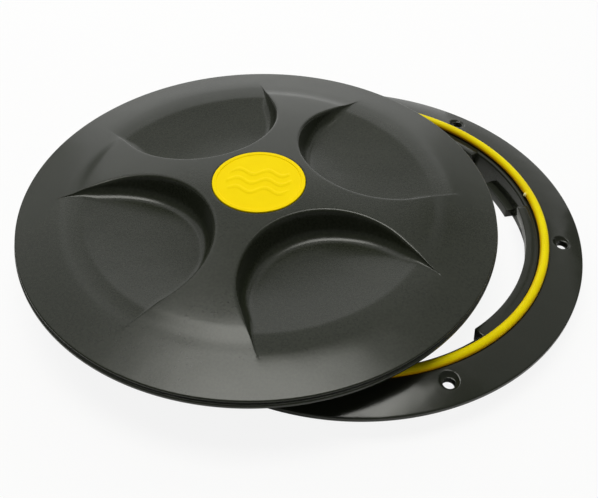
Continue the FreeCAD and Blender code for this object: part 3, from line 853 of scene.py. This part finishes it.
    def swept(self, name: str, turn: float, sweep: float, first: Sequence[Point2],
              last: Sequence[Point2], soften: float) -> bpy.types.Object:
        """Sweep a closed section round the axis through an angle.

        Args:
            name: the object's name.
            turn: first angle in degrees.
            sweep: angle in degrees that it spans.
            first: radius and height of the section's corners where it starts.
            last: the same where it ends.
            soften: width of the bevel on its sharp edges.

        Returns:
            The swept solid.
        """
        steps = max(3, int(sweep / self.sweep_step))
        start, change = np.array(first), np.array(last) - np.array(first)
        rows = []
        for step in range(steps + 1):
            share = step / steps
            angle = math.radians(turn + sweep * share)
            radius, height = (start + change * share).T
            rows.append((radius * math.cos(angle), radius * math.sin(angle), height))
        size = len(first)
        ends = [tuple(range(size)), tuple(reversed(range(steps * size, (steps + 1) * size)))]
        draft = MeshDraft()
        draft.add(np.hstack(rows).T, ends + grid_faces(steps + 1, size))
        made = draft.make(name)
        work = bmesh.new()
        work.from_mesh(made.data)
        bmesh.ops.recalc_face_normals(work, faces=work.faces)
        edges = [edge for edge in work.edges
                 if edge.calc_face_angle(0.0) > math.radians(self.bevel_angle)]
        bmesh.ops.bevel(work, geom=edges, offset=soften * MM, segments=self.bevel_steps,
                        profile=0.5, affect="EDGES", clamp_overlap=True)
        work.to_mesh(made.data)
        work.free()
        return made

    def ledge_section(self, thick: float) -> list[Point2]:
        """Draw a cam ledge's section, with draft on its inner face.

        Args:
            thick: how thick the ledge is there.

        Returns:
            Radius and height of its corners.
        """
        root = self.bore + self.wall / 2
        inner = self.bore - self.ledge_reach
        foot = inner + thick * math.tan(math.radians(self.ledge_draft))
        return [(inner, self.lip), (root, self.lip), (root, self.lip - thick),
                (foot, self.lip - thick)]

    def block_section(self, inner: float, low: float, high: float) -> list[Point2]:
        """Return the corners of a stop's or a tab's section, out to the middle of the wall."""
        root = self.bore + self.wall / 2
        return [(inner, high), (root, high), (root, low), (inner, low)]

    def fittings(self) -> list[bpy.types.Object]:
        """Build the cam ledges, their stops and the lower tabs.

        Returns:
            One solid for each.
        """
        inner = self.bore - self.ledge_reach
        under = self.lip - self.ledge_thickness
        thick = self.ledge_section(self.ledge_thickness + self.cam_rise)
        thin = self.ledge_section(self.ledge_thickness)
        stop = self.block_section(inner + self.stop_set, under - self.stop_depth,
                                  under + self.stop_bite)
        tab = self.block_section(inner, -self.depth, self.tab_height - self.depth)
        made = []
        for index in range(self.repeat):
            step = 360.0 * index / self.repeat
            made.append(self.swept("ledge", self.ledge_turn + step, self.ledge_sweep,
                                   thick, thin, self.ledge_round))
            made.append(self.swept("stop", self.ledge_turn + step + self.stop_lag,
                                   self.stop_sweep, stop, stop, self.stop_round))
            made.append(self.swept("tab", self.tab_turn + step, self.tab_sweep,
                                   tab, tab, self.tab_round))
        return made

    def build(self) -> bpy.types.Object:
        """Build the ring in one piece and dress it.

        Returns:
            The deck ring.
        """
        ring = self.turned_body().make("ring_shell")
        for part in self.fittings():
            union = ring.modifiers.new("join", "BOOLEAN")
            union.operation = "UNION"
            union.solver = "EXACT"
            union.object = part
            settle(ring)
            bpy.data.objects.remove(part)
        finish_edges(ring.data, SHARP)
        dress(ring, self.finish.material(), Slot.RING, "deck_ring")
        return ring


# The seal

@dataclass
class SealRing:
    """O-ring: a round cord ring in the groove, with flash lines and a joint's nub."""

    floor: float
    radius: float = 106.05
    cord: float = 4.8
    around: int = 384
    section: int = 40
    sharp: float = 60.0
    flash: float = 0.035
    flash_width: float = 0.09
    nub_turn: float = 15.7
    nub_side: float = 172.0
    nub_width: float = 1.15
    nub_height: float = 1.25
    nub_span: float = 3.0
    nub_clear: float = 3.2
    nub_steps: int = 25
    finish: SealRubber = field(default_factory=SealRubber)

    def turns(self) -> Grid:
        """Set out the cord's sections, close together at the nub.

        Returns:
            Their angles round the ring.
        """
        near = math.degrees(self.nub_width / self.radius)
        extra = self.nub_turn + near * np.linspace(-self.nub_span, self.nub_span, self.nub_steps)
        even = np.arange(self.around) * (360.0 / self.around)
        even = even[np.abs(even - self.nub_turn) > self.nub_clear * near]
        return np.radians(np.sort(np.concatenate((even, extra))))

    def reach(self, turn: Grid, side: Grid) -> Grid:
        """Return how far the skin lies from the cord's core.

        Args:
            turn: angle round the ring.
            side: angle round the cord, from the outside over the top.

        Returns:
            The distance, with the flash lines and the moulding nub.
        """
        half = self.cord / 2
        flash = self.flash * np.exp(-(np.sin(side) / self.flash_width) ** 2) - self.flash
        along = (turn - math.radians(self.nub_turn)) * self.radius
        aside = (side - math.radians(self.nub_side)) * half
        nub = np.exp(-((along ** 2 + aside ** 2) / self.nub_width ** 2) ** 1.5)
        return half + flash + self.nub_height * nub

    def build(self) -> bpy.types.Object:
        """Build the seal and dress it.

        Returns:
            The seal.
        """
        turns = self.turns()
        sides = np.arange(self.section) * (2 * math.pi / self.section)
        turn, side = np.meshgrid(turns, sides, indexing="ij")
        reach = self.reach(turn, side)
        out = self.radius + reach * np.cos(side)
        points = np.stack((out * np.cos(turn), out * np.sin(turn),
                           self.floor + self.cord / 2 + reach * np.sin(side)), axis=-1)
        draft = MeshDraft()
        draft.add(points.reshape(-1, 3), grid_faces(len(turns), self.section, closed=True))
        seal = draft.make("seal_cord", sharp=self.sharp)
        dress(seal, self.finish.material(), Slot.SEAL, "o_ring")
        return seal


# The lid

@dataclass
class LidPlace:
    """Where the lid lies on the ring."""

    x: float = -47.3
    y: float = -12.15
    z: float = 22.95
    turn: float = -54.9

    def matrix(self) -> Matrix:
        """Return the move from the lid's own frame to the ring's, in millimetres."""
        turned = Matrix.Rotation(math.radians(self.turn), 4, "Z")
        return Matrix.Translation((self.x, self.y, self.z)) @ turned


@dataclass
class LidTop:
    """The lid's upper side as a height over its plan, from the rim's upper edge."""

    rim: float = 124.2
    rim_margin: float = 1.4
    band: float = 104.0
    band_high: float = 3.5105
    dome: float = 14.0
    crown: float = 544.85
    crest: float = 86.0
    # Radius and downward slope in degrees, over the crest and through the valley
    falls: tuple[Point2, ...] = (
        (86.0, 9.1), (89.0, 9.5), (90.8, 13.4), (92.2, 15.3), (93.8, 14.8), (96.0, 11.8),
        (98.5, 9.3), (101.0, 8.7), (104.0, 9.7))
    fall_steps: int = 145
    seat: float = 24.05
    seat_floor: float = 12.0
    seat_mouth: float = 0.45
    seat_round: float = 0.4
    seat_edge: float = 0.03
    # The scoops
    count: int = 4
    centre: float = 76.0
    round: float = 42.59
    flare: float = 14.0
    draft: float = 15.0
    floor: float = -2.1
    # Radius and upward slope in degrees, along a scoop's floor and its ramp
    climb: tuple[Point2, ...] = (
        (46.0, 0.0), (56.0, 3.5), (66.0, 6.8), (76.0, 9.0), (86.0, 11.0), (90.0, 11.5),
        (92.4, 3.5), (97.0, 2.0), (100.0, -0.5), (103.5, -5.5))
    climb_step: float = 0.25
    floor_round: float = 6.0
    floor_share: float = 0.78
    lip_round: float = 1.9
    lip_share: float = 0.2
    blend: float = 0.35
    # How finely the mesh is cut
    around: int = 480
    fine: float = 84.0
    spacing: float = 2.2
    hub_step: float = 4.0
    seat_around: int = 160
    seat_gaps: tuple[float, ...] = (0.0, 0.06, 0.14, 0.24, 0.36, 0.5, 1.2)
    ring_runs: tuple[Run, ...] = ((27.5, 84.0, 2.6), (84.5, 107.0, 0.75), (108.5, 121.8, 3.0))
    rail_turns: int = 70
    rail_run: Run = (0.8, 44.0, 0.9)
    foot_gaps: tuple[float, ...] = (3.4, 2.2, 1.1)
    foot_steps: int = 7
    wall_shares: tuple[float, ...] = (0.25, 0.5, 0.75)
    lip_steps: int = 5
    lip_gaps: tuple[float, ...] = (0.7, 1.6, 2.8)
    foot_clear: float = 4.2
    lip_clear: float = 3.4
    knee_rounds: int = 4
    # Depths of scoop from which the wall has its own points and the circles make room
    wall_least: float = 0.12
    clear_least: float = 0.2

    @property
    def edge(self) -> float:
        """Radius where the height field ends and the rim's own turned side begins."""
        return self.rim - self.rim_margin

    def turned_height(self, radius: Grid) -> Grid:
        """Work out the top without its scoops: dome, crest, valley and outer band.

        Args:
            radius: distances from the lid's axis.

        Returns:
            The height at each.
        """
        inside = np.minimum(radius, self.crest)
        dome = self.dome - self.crown + np.sqrt(self.crown ** 2 - inside ** 2)
        crest_high = self.dome - self.crown + math.sqrt(self.crown ** 2 - self.crest ** 2)
        places = np.linspace(self.crest, self.band, self.fall_steps)
        drop = climbed(self.falls, places)
        line = crest_high - drop / drop[-1] * (crest_high - self.band_high)
        slope = np.interp(radius, places, line)
        band = self.band_high * (self.rim - radius) / (self.rim - self.band)
        return np.select([radius < self.crest, radius < self.band], [dome, slope], band)

    def floor_height(self, radius: Grid) -> Grid:
        """Work out a scoop's floor and ramp from their slopes.

        Args:
            radius: distances from the lid's axis.

        Returns:
            The height at each.
        """
        places = np.arange(0.0, self.rim + 1.0, self.climb_step)
        return np.interp(radius, places, self.floor + climbed(self.climb, places))

    def fold(self, x: Grid, y: Grid) -> tuple[Grid, Grid]:
        """Turn each place into the first scoop's own sector.

        Args:
            x: places along X.
            y: places along Y.

        Returns:
            x and y of the turned places.
        """
        radius = np.hypot(x, y)
        step = 2 * math.pi / self.count
        angle = np.arctan2(y, x)
        angle = angle - step * np.round(angle / step)
        return radius * np.cos(angle), radius * np.sin(angle)

    def reach(self, x: Grid, y: Grid) -> Grid:
        """Measure how far places lie out from the first scoop's middle line.

        Args:
            x: places along X in the first sector.
            y: places along Y there.

        Returns:
            The distance, round the centre and then along the flared sides.
        """
        flare = math.radians(self.flare)
        ahead = x - self.centre
        aside = np.abs(y)
        along = ahead * math.cos(flare) + aside * math.sin(flare)
        across = aside * math.cos(flare) - ahead * math.sin(flare)
        return np.where(along > 0, across, np.hypot(ahead, aside))

    def levels(self, x: Grid, y: Grid) -> tuple[Grid, Grid]:
        """Work out the plain top and the scoop's floor below it.

        Args:
            x: places along X.
            y: places along Y.

        Returns:
            The height of the top and of the floor at each place.
        """
        radius = np.hypot(x, y)
        top = self.turned_height(radius)
        return top, soft_min(self.floor_height(radius), top, self.blend)

    def knees(self, top: Grid, low: Grid) -> tuple[Grid, Grid, Grid, Grid]:
        """Find where a scoop's wall leaves the floor and meets the top.

        Args:
            top: height of the plain top.
            low: height of the floor.

        Returns:
            Reach at the floor, reach at the top, and the two corner radii there.
        """
        lean = math.radians(self.draft)
        bite = 1.0 - math.sin(lean)
        drop = np.maximum(top - low, 0.0)
        foot = np.minimum(self.floor_round, self.floor_share * drop / bite)
        lip = np.minimum(self.lip_round, self.lip_share * drop / bite)
        start = self.round + (low + foot * bite) * math.tan(lean) - foot * math.cos(lean)
        end = self.round + (top - lip * bite) * math.tan(lean) + lip * math.cos(lean)
        return start, end, foot, lip

    def scooped_height(self, x: Grid, y: Grid) -> Grid:
        """Work out the top with its scoops: floor, rounded foot, wall and rounded lip.

        Args:
            x: places along X.
            y: places along Y.

        Returns:
            The height at each place.
        """
        x, y = self.fold(x, y)
        top, low = self.levels(x, y)
        start, end, foot, lip = self.knees(top, low)
        reach = self.reach(x, y)
        lean = math.radians(self.draft)
        wall = (reach - self.round) / math.tan(lean)
        past = np.clip(reach - start, 0, None)
        short = np.clip(end - reach, 0, None)
        bowl = low + foot - np.sqrt(np.clip(foot ** 2 - past ** 2, 0, None))
        brow = top - lip + np.sqrt(np.clip(lip ** 2 - short ** 2, 0, None))
        zones = [reach <= start, reach < start + foot * math.cos(lean),
                 reach <= end - lip * math.cos(lean), reach < end]
        return np.select(zones, [low, bowl, wall, brow], top)

    def height(self, x: Grid, y: Grid) -> Grid:
        """Work out the scooped top with the badge's seat let into its hub.

        Args:
            x: places along X.
            y: places along Y.

        Returns:
            The height at each place.
        """
        radius = np.hypot(x, y)
        mouth = np.clip((self.seat + self.seat_mouth - radius) / self.seat_round, 0.0, 1.0)
        high = self.scooped_height(x, y) - self.seat_round * (1.0 - np.sqrt(1.0 - mouth ** 2))
        return np.where(radius < self.seat + self.seat_edge, self.seat_floor, high)

    def rails(self) -> Grid:
        """Lay lines across half of the first scoop's wall, all round its bend.

        Returns:
            A row for each, with x and y of its start and its direction outwards.
        """
        flare = math.radians(self.flare)
        turns = np.linspace(math.pi, math.pi / 2 + flare, self.rail_turns)
        rows = [(self.centre, 0.0, math.cos(turn), math.sin(turn)) for turn in turns]
        for step in np.arange(*self.rail_run):
            rows.append((self.centre + step * math.cos(flare), step * math.sin(flare),
                         -math.sin(flare), math.cos(flare)))
        return np.array(rows)

    @staticmethod
    def along(rails: Grid, distance: Grid) -> tuple[Grid, Grid]:
        """Return x and y of the places at a distance along each rail."""
        return rails[:, 0] + rails[:, 2] * distance, rails[:, 1] + rails[:, 3] * distance

    def wall_points(self) -> Grid:
        """Scatter points along the first scoop's wall, in lines that follow its bends.

        Returns:
            x and y of each point.
        """
        rails = self.rails()
        start = end = np.full(len(rails), self.round)
        for _ in range(self.knee_rounds):
            top = self.levels(*self.along(rails, end))[0]
            low = self.levels(*self.along(rails, start))[1]
            start, end, foot, lip = self.knees(top, low)
        lean = math.radians(self.draft)
        quarter = math.pi / 2 - lean
        wall_low = start + foot * math.cos(lean)
        wall_high = end - lip * math.cos(lean)
        lines = [start - gap for gap in self.foot_gaps]
        for share in np.linspace(0.0, 1.0, self.foot_steps):
            lines.append(start + foot * math.sin(share * quarter))
        lines += [wall_low + (wall_high - wall_low) * share for share in self.wall_shares]
        for share in np.linspace(1.0, 0.0, self.lip_steps):
            lines.append(end - lip * math.sin(share * quarter))
        lines += [end + gap for gap in self.lip_gaps]
        top = self.levels(*self.along(rails, end))[0]
        low = self.levels(*self.along(rails, start))[1]
        live = top - low > self.wall_least
        half = np.vstack([np.column_stack(self.along(rails, line))[live] for line in lines])
        mirrored = half[half[:, 1] > 1e-6] * (1.0, -1.0)
        return np.vstack((half, mirrored))

    def plan(self) -> Grid:
        """Scatter points over the lid's plan, dense where it bends.

        Returns:
            x and y of each point.
        """
        radii = list(np.arange(self.hub_step, self.seat - 1.0, self.hub_step))
        radii += [self.seat + gap for gap in self.seat_gaps]
        for run in self.ring_runs:
            radii += list(np.arange(*run))
        rings = [np.zeros((1, 2))]
        for radius in radii:
            count = max(24, int(2 * math.pi * radius / self.spacing))
            if self.seat <= radius <= self.seat + self.seat_gaps[-1]:
                count = self.seat_around
            elif radius > self.fine:
                count = self.around
            rings.append(circle_points(float(radius), count, start=radius))
        rings.append(circle_points(self.edge, self.around))
        cloud = np.vstack(rings)
        x, y = self.fold(cloud[:, 0], cloud[:, 1])
        top, low = self.levels(x, y)
        start, end = self.knees(top, low)[:2]
        reach = self.reach(x, y)
        near_wall = (reach > start - self.foot_clear) & (reach < end + self.lip_clear)
        out = [cloud[~(near_wall & (top - low > self.clear_least))]]
        walls = self.wall_points()
        for index in range(self.count):
            angle = 2 * math.pi * index / self.count
            spin = np.array(((math.cos(angle), math.sin(angle)),
                             (-math.sin(angle), math.cos(angle))))
            out.append(walls @ spin)
        return np.vstack(out)


@dataclass
class Lid:
    """The lid: its scooped top, its rim, and the plug with its lugs below."""

    place: LidPlace = field(default_factory=LidPlace)
    top: LidTop = field(default_factory=LidTop)
    side: float = 124.6
    drop: float = 4.3
    step: float = 2.1
    step_drop: float = 0.25
    notch: float = 0.9
    rim_wall: float = 3.0
    rim_round: float = 0.8
    notch_round: float = 0.15
    step_round: float = 0.9
    foot_round: float = 0.4
    corner_steps: int = 6
    # A packed face is left out where it is this near to the new top, or is open above and
    # its normal points up by more than this
    cover_gap: float = 0.9
    cover_tilt: float = 0.01
    weld: float = 0.01
    sharp: float = 40.0
    finish: MouldedPlastic = field(default_factory=lambda: MouldedPlastic(
        name="lid_plastic", colour=(0.0112, 0.0140, 0.0070), bloom=(0.0235, 0.0268, 0.0165),
        roughness=0.25, spread=0.02, grain=1000.0, grain_depth=0.00002,
        ripple=45.0, ripple_depth=0.0002, specular=0.395))

    def shell(self) -> MeshDraft:
        """Build the scooped top and the rim's side.

        Returns:
            The shell, open below.
        """
        edge = self.top.edge
        high = float(self.top.turned_height(np.array(edge)))
        draft = MeshDraft()
        draft.skin(self.top.plan(), self.top.height, lambda x, y: np.hypot(x, y) < edge + HAIR)
        draft.lathe(rounded_line([
            (edge, high, 0.0),
            (self.top.rim, 0.0, self.rim_round),
            (self.top.rim - self.notch, -self.step, self.notch_round),
            (self.side, -self.step - self.step_drop, self.step_round),
            (self.side, -self.drop, self.foot_round),
            (self.side - self.rim_wall, -self.drop, 0.0)],
            self.corner_steps)[::-1], self.top.around)
        return draft

    def underside(self, shell: bpy.types.Object, source: bpy.types.Object) -> bmesh.types.BMesh:
        """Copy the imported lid's faces that the new top and rim don't stand for.

        Args:
            shell: the new top, in metres.
            source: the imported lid.

        Returns:
            The copied faces.
        """
        tree = BVHTree.FromPolygons([vert.co for vert in shell.data.vertices],
                                    [tuple(face.vertices) for face in shell.data.polygons])
        work = bmesh.new()
        work.from_mesh(source.data)
        packed = BVHTree.FromBMesh(work)
        above = Vector((0.0, 0.0, 1.0))
        covered = []
        for face in work.faces:
            middle = face.calc_center_median()
            spots = [middle] + [(middle + vert.co * 2) / 3 for vert in face.verts]
            gaps = [tree.find_nearest(spot)[3] for spot in spots]
            open_above = packed.ray_cast(middle + above * HAIR * MM, above)[0] is None
            faces_up = face.normal.z > self.cover_tilt and open_above
            if max(gaps) < self.cover_gap * MM or faces_up:
                covered.append(face)
        bmesh.ops.delete(work, geom=covered, context="FACES")
        return work

    def build(self, source: bpy.types.Object) -> bpy.types.Object:
        """Build the lid in one piece and dress it.

        Args:
            source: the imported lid.

        Returns:
            The lid.
        """
        lid = self.shell().make("lid_shell", self.place.matrix(), self.weld, self.sharp)
        below = self.underside(lid, source)
        below.from_mesh(lid.data)
        bmesh.ops.remove_doubles(below, verts=below.verts, dist=WELD * MM)
        below.to_mesh(lid.data)
        below.free()
        finish_edges(lid.data, self.sharp)
        dress(lid, self.finish.material(), Slot.LID, "lid")
        return lid


# The badge

@dataclass
class Badge:
    """Round badge with a raised border and three plain waves in relief."""

    place: LidPlace
    low: float
    radius: float = 23.9
    thickness: float = 2.0
    edge_round: float = 0.3
    foot_round: float = 0.15
    border: float = 2.0
    relief: float = 0.35
    wave_rows: tuple[float, ...] = (-7.0, 0.0, 7.0)
    wave_swing: float = 1.9
    wave_length: float = 15.0
    wave_height: float = 0.3168
    wave_half: float = 1.05
    wave_side: float = 1.6
    wave_reach: float = 17.0
    wave_fade: float = 1.2
    # How finely the mesh is cut
    around: int = 288
    spacing: float = 0.5
    ring_run: Run = (0.45, 21.2, 0.45)
    border_rings: tuple[float, ...] = (
        21.4, 21.55, 21.62, 21.7, 21.78, 21.86, 21.95, 22.4, 23.0)
    edge_margin: float = 0.5
    foot_margin: float = 1.0
    corner_steps: int = 4
    sharp: float = 40.0
    finish: BadgePlastic = field(default_factory=BadgePlastic)

    def relief_height(self, x: Grid, y: Grid) -> Grid:
        """Work out the badge's face: its field, its border and its waves.

        Args:
            x: places along X in the lid's own frame.
            y: places along Y there.

        Returns:
            The height at each place.
        """
        radius = np.hypot(x, y)
        field_edge = self.radius - self.border
        rise = np.clip((radius - field_edge + self.relief) / self.relief, 0.0, 1.0)
        face = self.low + self.thickness - self.relief + self.relief * eased(rise)
        turn = math.radians(-self.place.turn)
        across = x * math.cos(turn) + y * math.sin(turn)
        along = y * math.cos(turn) - x * math.sin(turn)
        mask = np.clip((self.wave_reach - radius) / self.wave_fade, 0.0, 1.0)
        waves = np.zeros_like(radius)
        for row in self.wave_rows:
            crest = row + self.wave_swing * np.sin(across * 2 * math.pi / self.wave_length)
            gap = np.abs(along - crest) / self.wave_half
            waves = np.maximum(waves, eased(np.clip(self.wave_side - gap, 0.0, 1.0)))
        return face + waves * mask * self.wave_height

    def build(self) -> bpy.types.Object:
        """Build the badge and dress it.

        Returns:
            The badge.
        """
        edge = self.radius - self.edge_margin
        foot = self.radius - self.foot_margin
        high = self.low + self.thickness
        rings = [np.zeros((1, 2))]
        for radius in np.arange(*self.ring_run):
            count = max(8, int(2 * math.pi * radius / self.spacing))
            rings.append(circle_points(float(radius), count))
        rings += [circle_points(radius, self.around) for radius in (*self.border_rings, edge)]
        draft = MeshDraft()
        draft.skin(np.vstack(rings), self.relief_height,
                   lambda x, y: np.hypot(x, y) < edge + HAIR)
        draft.lathe(rounded_line([
            (edge, high, 0.0),
            (self.radius, high, self.edge_round),
            (self.radius, self.low, self.foot_round),
            (foot, self.low, 0.0)], self.corner_steps)[::-1], self.around)
        draft.add(np.column_stack((circle_points(foot, self.around),
                                   np.full(self.around, self.low))),
                  [tuple(reversed(range(self.around)))])
        badge = draft.make("badge_face", self.place.matrix(), sharp=self.sharp)
        dress(badge, self.finish.material(), Slot.BADGE, "badge")
        return badge


# The studio

@dataclass(frozen=True)
class Lamp:
    """A flat soft lamp, placed in metres, with its power in watts."""

    name: str
    place: Point3
    aim: Point3
    size: Point2
    power: float
    tint: Colour = WHITE

    def hang(self) -> None:
        """Hang the lamp in its place, turned to what it looks at."""
        lamp = bpy.data.lights.new(self.name, "AREA")
        lamp.shape = "RECTANGLE"
        lamp.size, lamp.size_y = self.size
        lamp.energy = self.power
        lamp.color = self.tint
        item = added(self.name, lamp)
        item.location = self.place
        item.rotation_mode = "QUATERNION"
        sight = Vector(self.aim) - Vector(self.place)
        item.rotation_quaternion = sight.to_track_quat("-Z", "Y")


WARM: Colour = (1.0, 1.0, 0.94)
LAMPS = (
    Lamp("key_lamp", (-0.08, 0.08, 1.3), (-0.08, 0.0, 0.0), (0.75, 0.5), 3.8, WARM),
    Lamp("strip_lamp", (-0.11, 0.08, 1.28), (-0.11, 0.0, 0.0), (1.02, 0.5), 6.25, WARM),
    Lamp("left_lamp", (-1.0, 0.70, 1.08), (0.0, 0.0, 0.0), (0.95, 1.25), 2.75),
    Lamp("back_lamp", (-0.215, 0.80, 0.27), (-0.215, 0.0, 0.0), (0.87, 0.66), 1.85),
    Lamp("corner_lamp", (0.41, 0.79, 0.28), (0.05, 0.05, 0.0), (0.42, 0.54), 0.37),
    Lamp("fill_lamp", (-0.17, 0.95, 1.10), (-0.17, 0.0, 0.0), (1.26, 0.85), 1.75),
    Lamp("right_lamp", (0.86, 0.62, 1.12), (0.0, 0.0, 0.0), (0.9, 0.9), 1.1),
)


@dataclass
class Studio:
    """Floor, lamps, world and camera; the camera's turn is an axis times an angle."""

    floor: float = -12.55
    floor_half: float = 6000.0
    camera: Point3 = (-0.42, -293.95, 272.96)
    lens: float = 43.041
    sensor: float = 36.0
    turn: Point3 = (2.3955, 0.1107, -0.0166)
    shift: Point2 = (-0.02225, 0.04962)
    clip: Point2 = (0.01, 50.0)
    ambient: float = 0.15
    lamps: tuple[Lamp, ...] = LAMPS
    finish: Backdrop = field(default_factory=Backdrop)

    def clear(self) -> None:
        """Remove whatever the new file holds."""
        for item in list(bpy.data.objects):
            bpy.data.objects.remove(item)

    def lay_floor(self) -> None:
        """Lay the pale floor."""
        half = self.floor_half * MM
        mesh = bpy.data.meshes.new("studio_floor")
        corners = ((-half, -half), (half, -half), (half, half), (-half, half))
        mesh.from_pydata([(x, y, self.floor * MM) for x, y in corners], [], [(0, 1, 2, 3)])
        mesh.materials.append(self.finish.material())
        added("studio_floor", mesh)

    def light(self) -> None:
        """Light the piece softly from above, in front of a white backdrop."""
        world = bpy.data.worlds.new("studio_world")
        bpy.context.scene.world = world
        shader = Shader(world)
        seen = shader.node("ShaderNodeLightPath", output="Is Camera Ray")
        sky = shader.node("ShaderNodeBackground", {}, {
            "Color": (*WHITE, 1.0),
            "Strength": seen * (1.0 - self.ambient) + self.ambient})
        shader.node("ShaderNodeOutputWorld", {}, {"Surface": sky})
        for lamp in self.lamps:
            lamp.hang()

    def set_camera(self) -> None:
        """Set the camera where the photograph was taken from."""
        data = bpy.data.cameras.new("camera")
        data.sensor_width = self.sensor
        data.lens = self.lens
        data.shift_x, data.shift_y = self.shift
        data.clip_start, data.clip_end = self.clip
        item = added("camera", data)
        turn = Vector(self.turn)
        facing = Matrix.Rotation(turn.length, 3, turn.normalized())
        rows = (facing[0], -facing[1], -facing[2])
        axes = Matrix(rows).transposed().to_4x4()
        item.matrix_world = Matrix.Translation(Vector(self.camera) * MM) @ axes
        bpy.context.scene.camera = item

    def build(self) -> None:
        """Build the whole studio."""
        self.lay_floor()
        self.light()
        self.set_camera()
        bpy.context.scene.view_settings.view_transform = "Standard"


def main() -> None:
    """Build every piece of the hatch in order and report it."""
    logging.basicConfig(level=logging.INFO, format="%(name)s: %(message)s")
    studio = Studio()
    studio.clear()
    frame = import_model()
    ring = DeckRing()
    lid = Lid()
    pieces = [
        ring.build(),
        SealRing(floor=ring.floor).build(),
        lid.build(frame["nodes"]["lid"]),
        Badge(place=lid.place, low=lid.top.seat_floor).build(),
    ]
    for piece in pieces:
        LOG.info("%s: %d faces", piece.name, len(piece.data.polygons))
    studio.build()


if __name__ == "__main__":
    main()
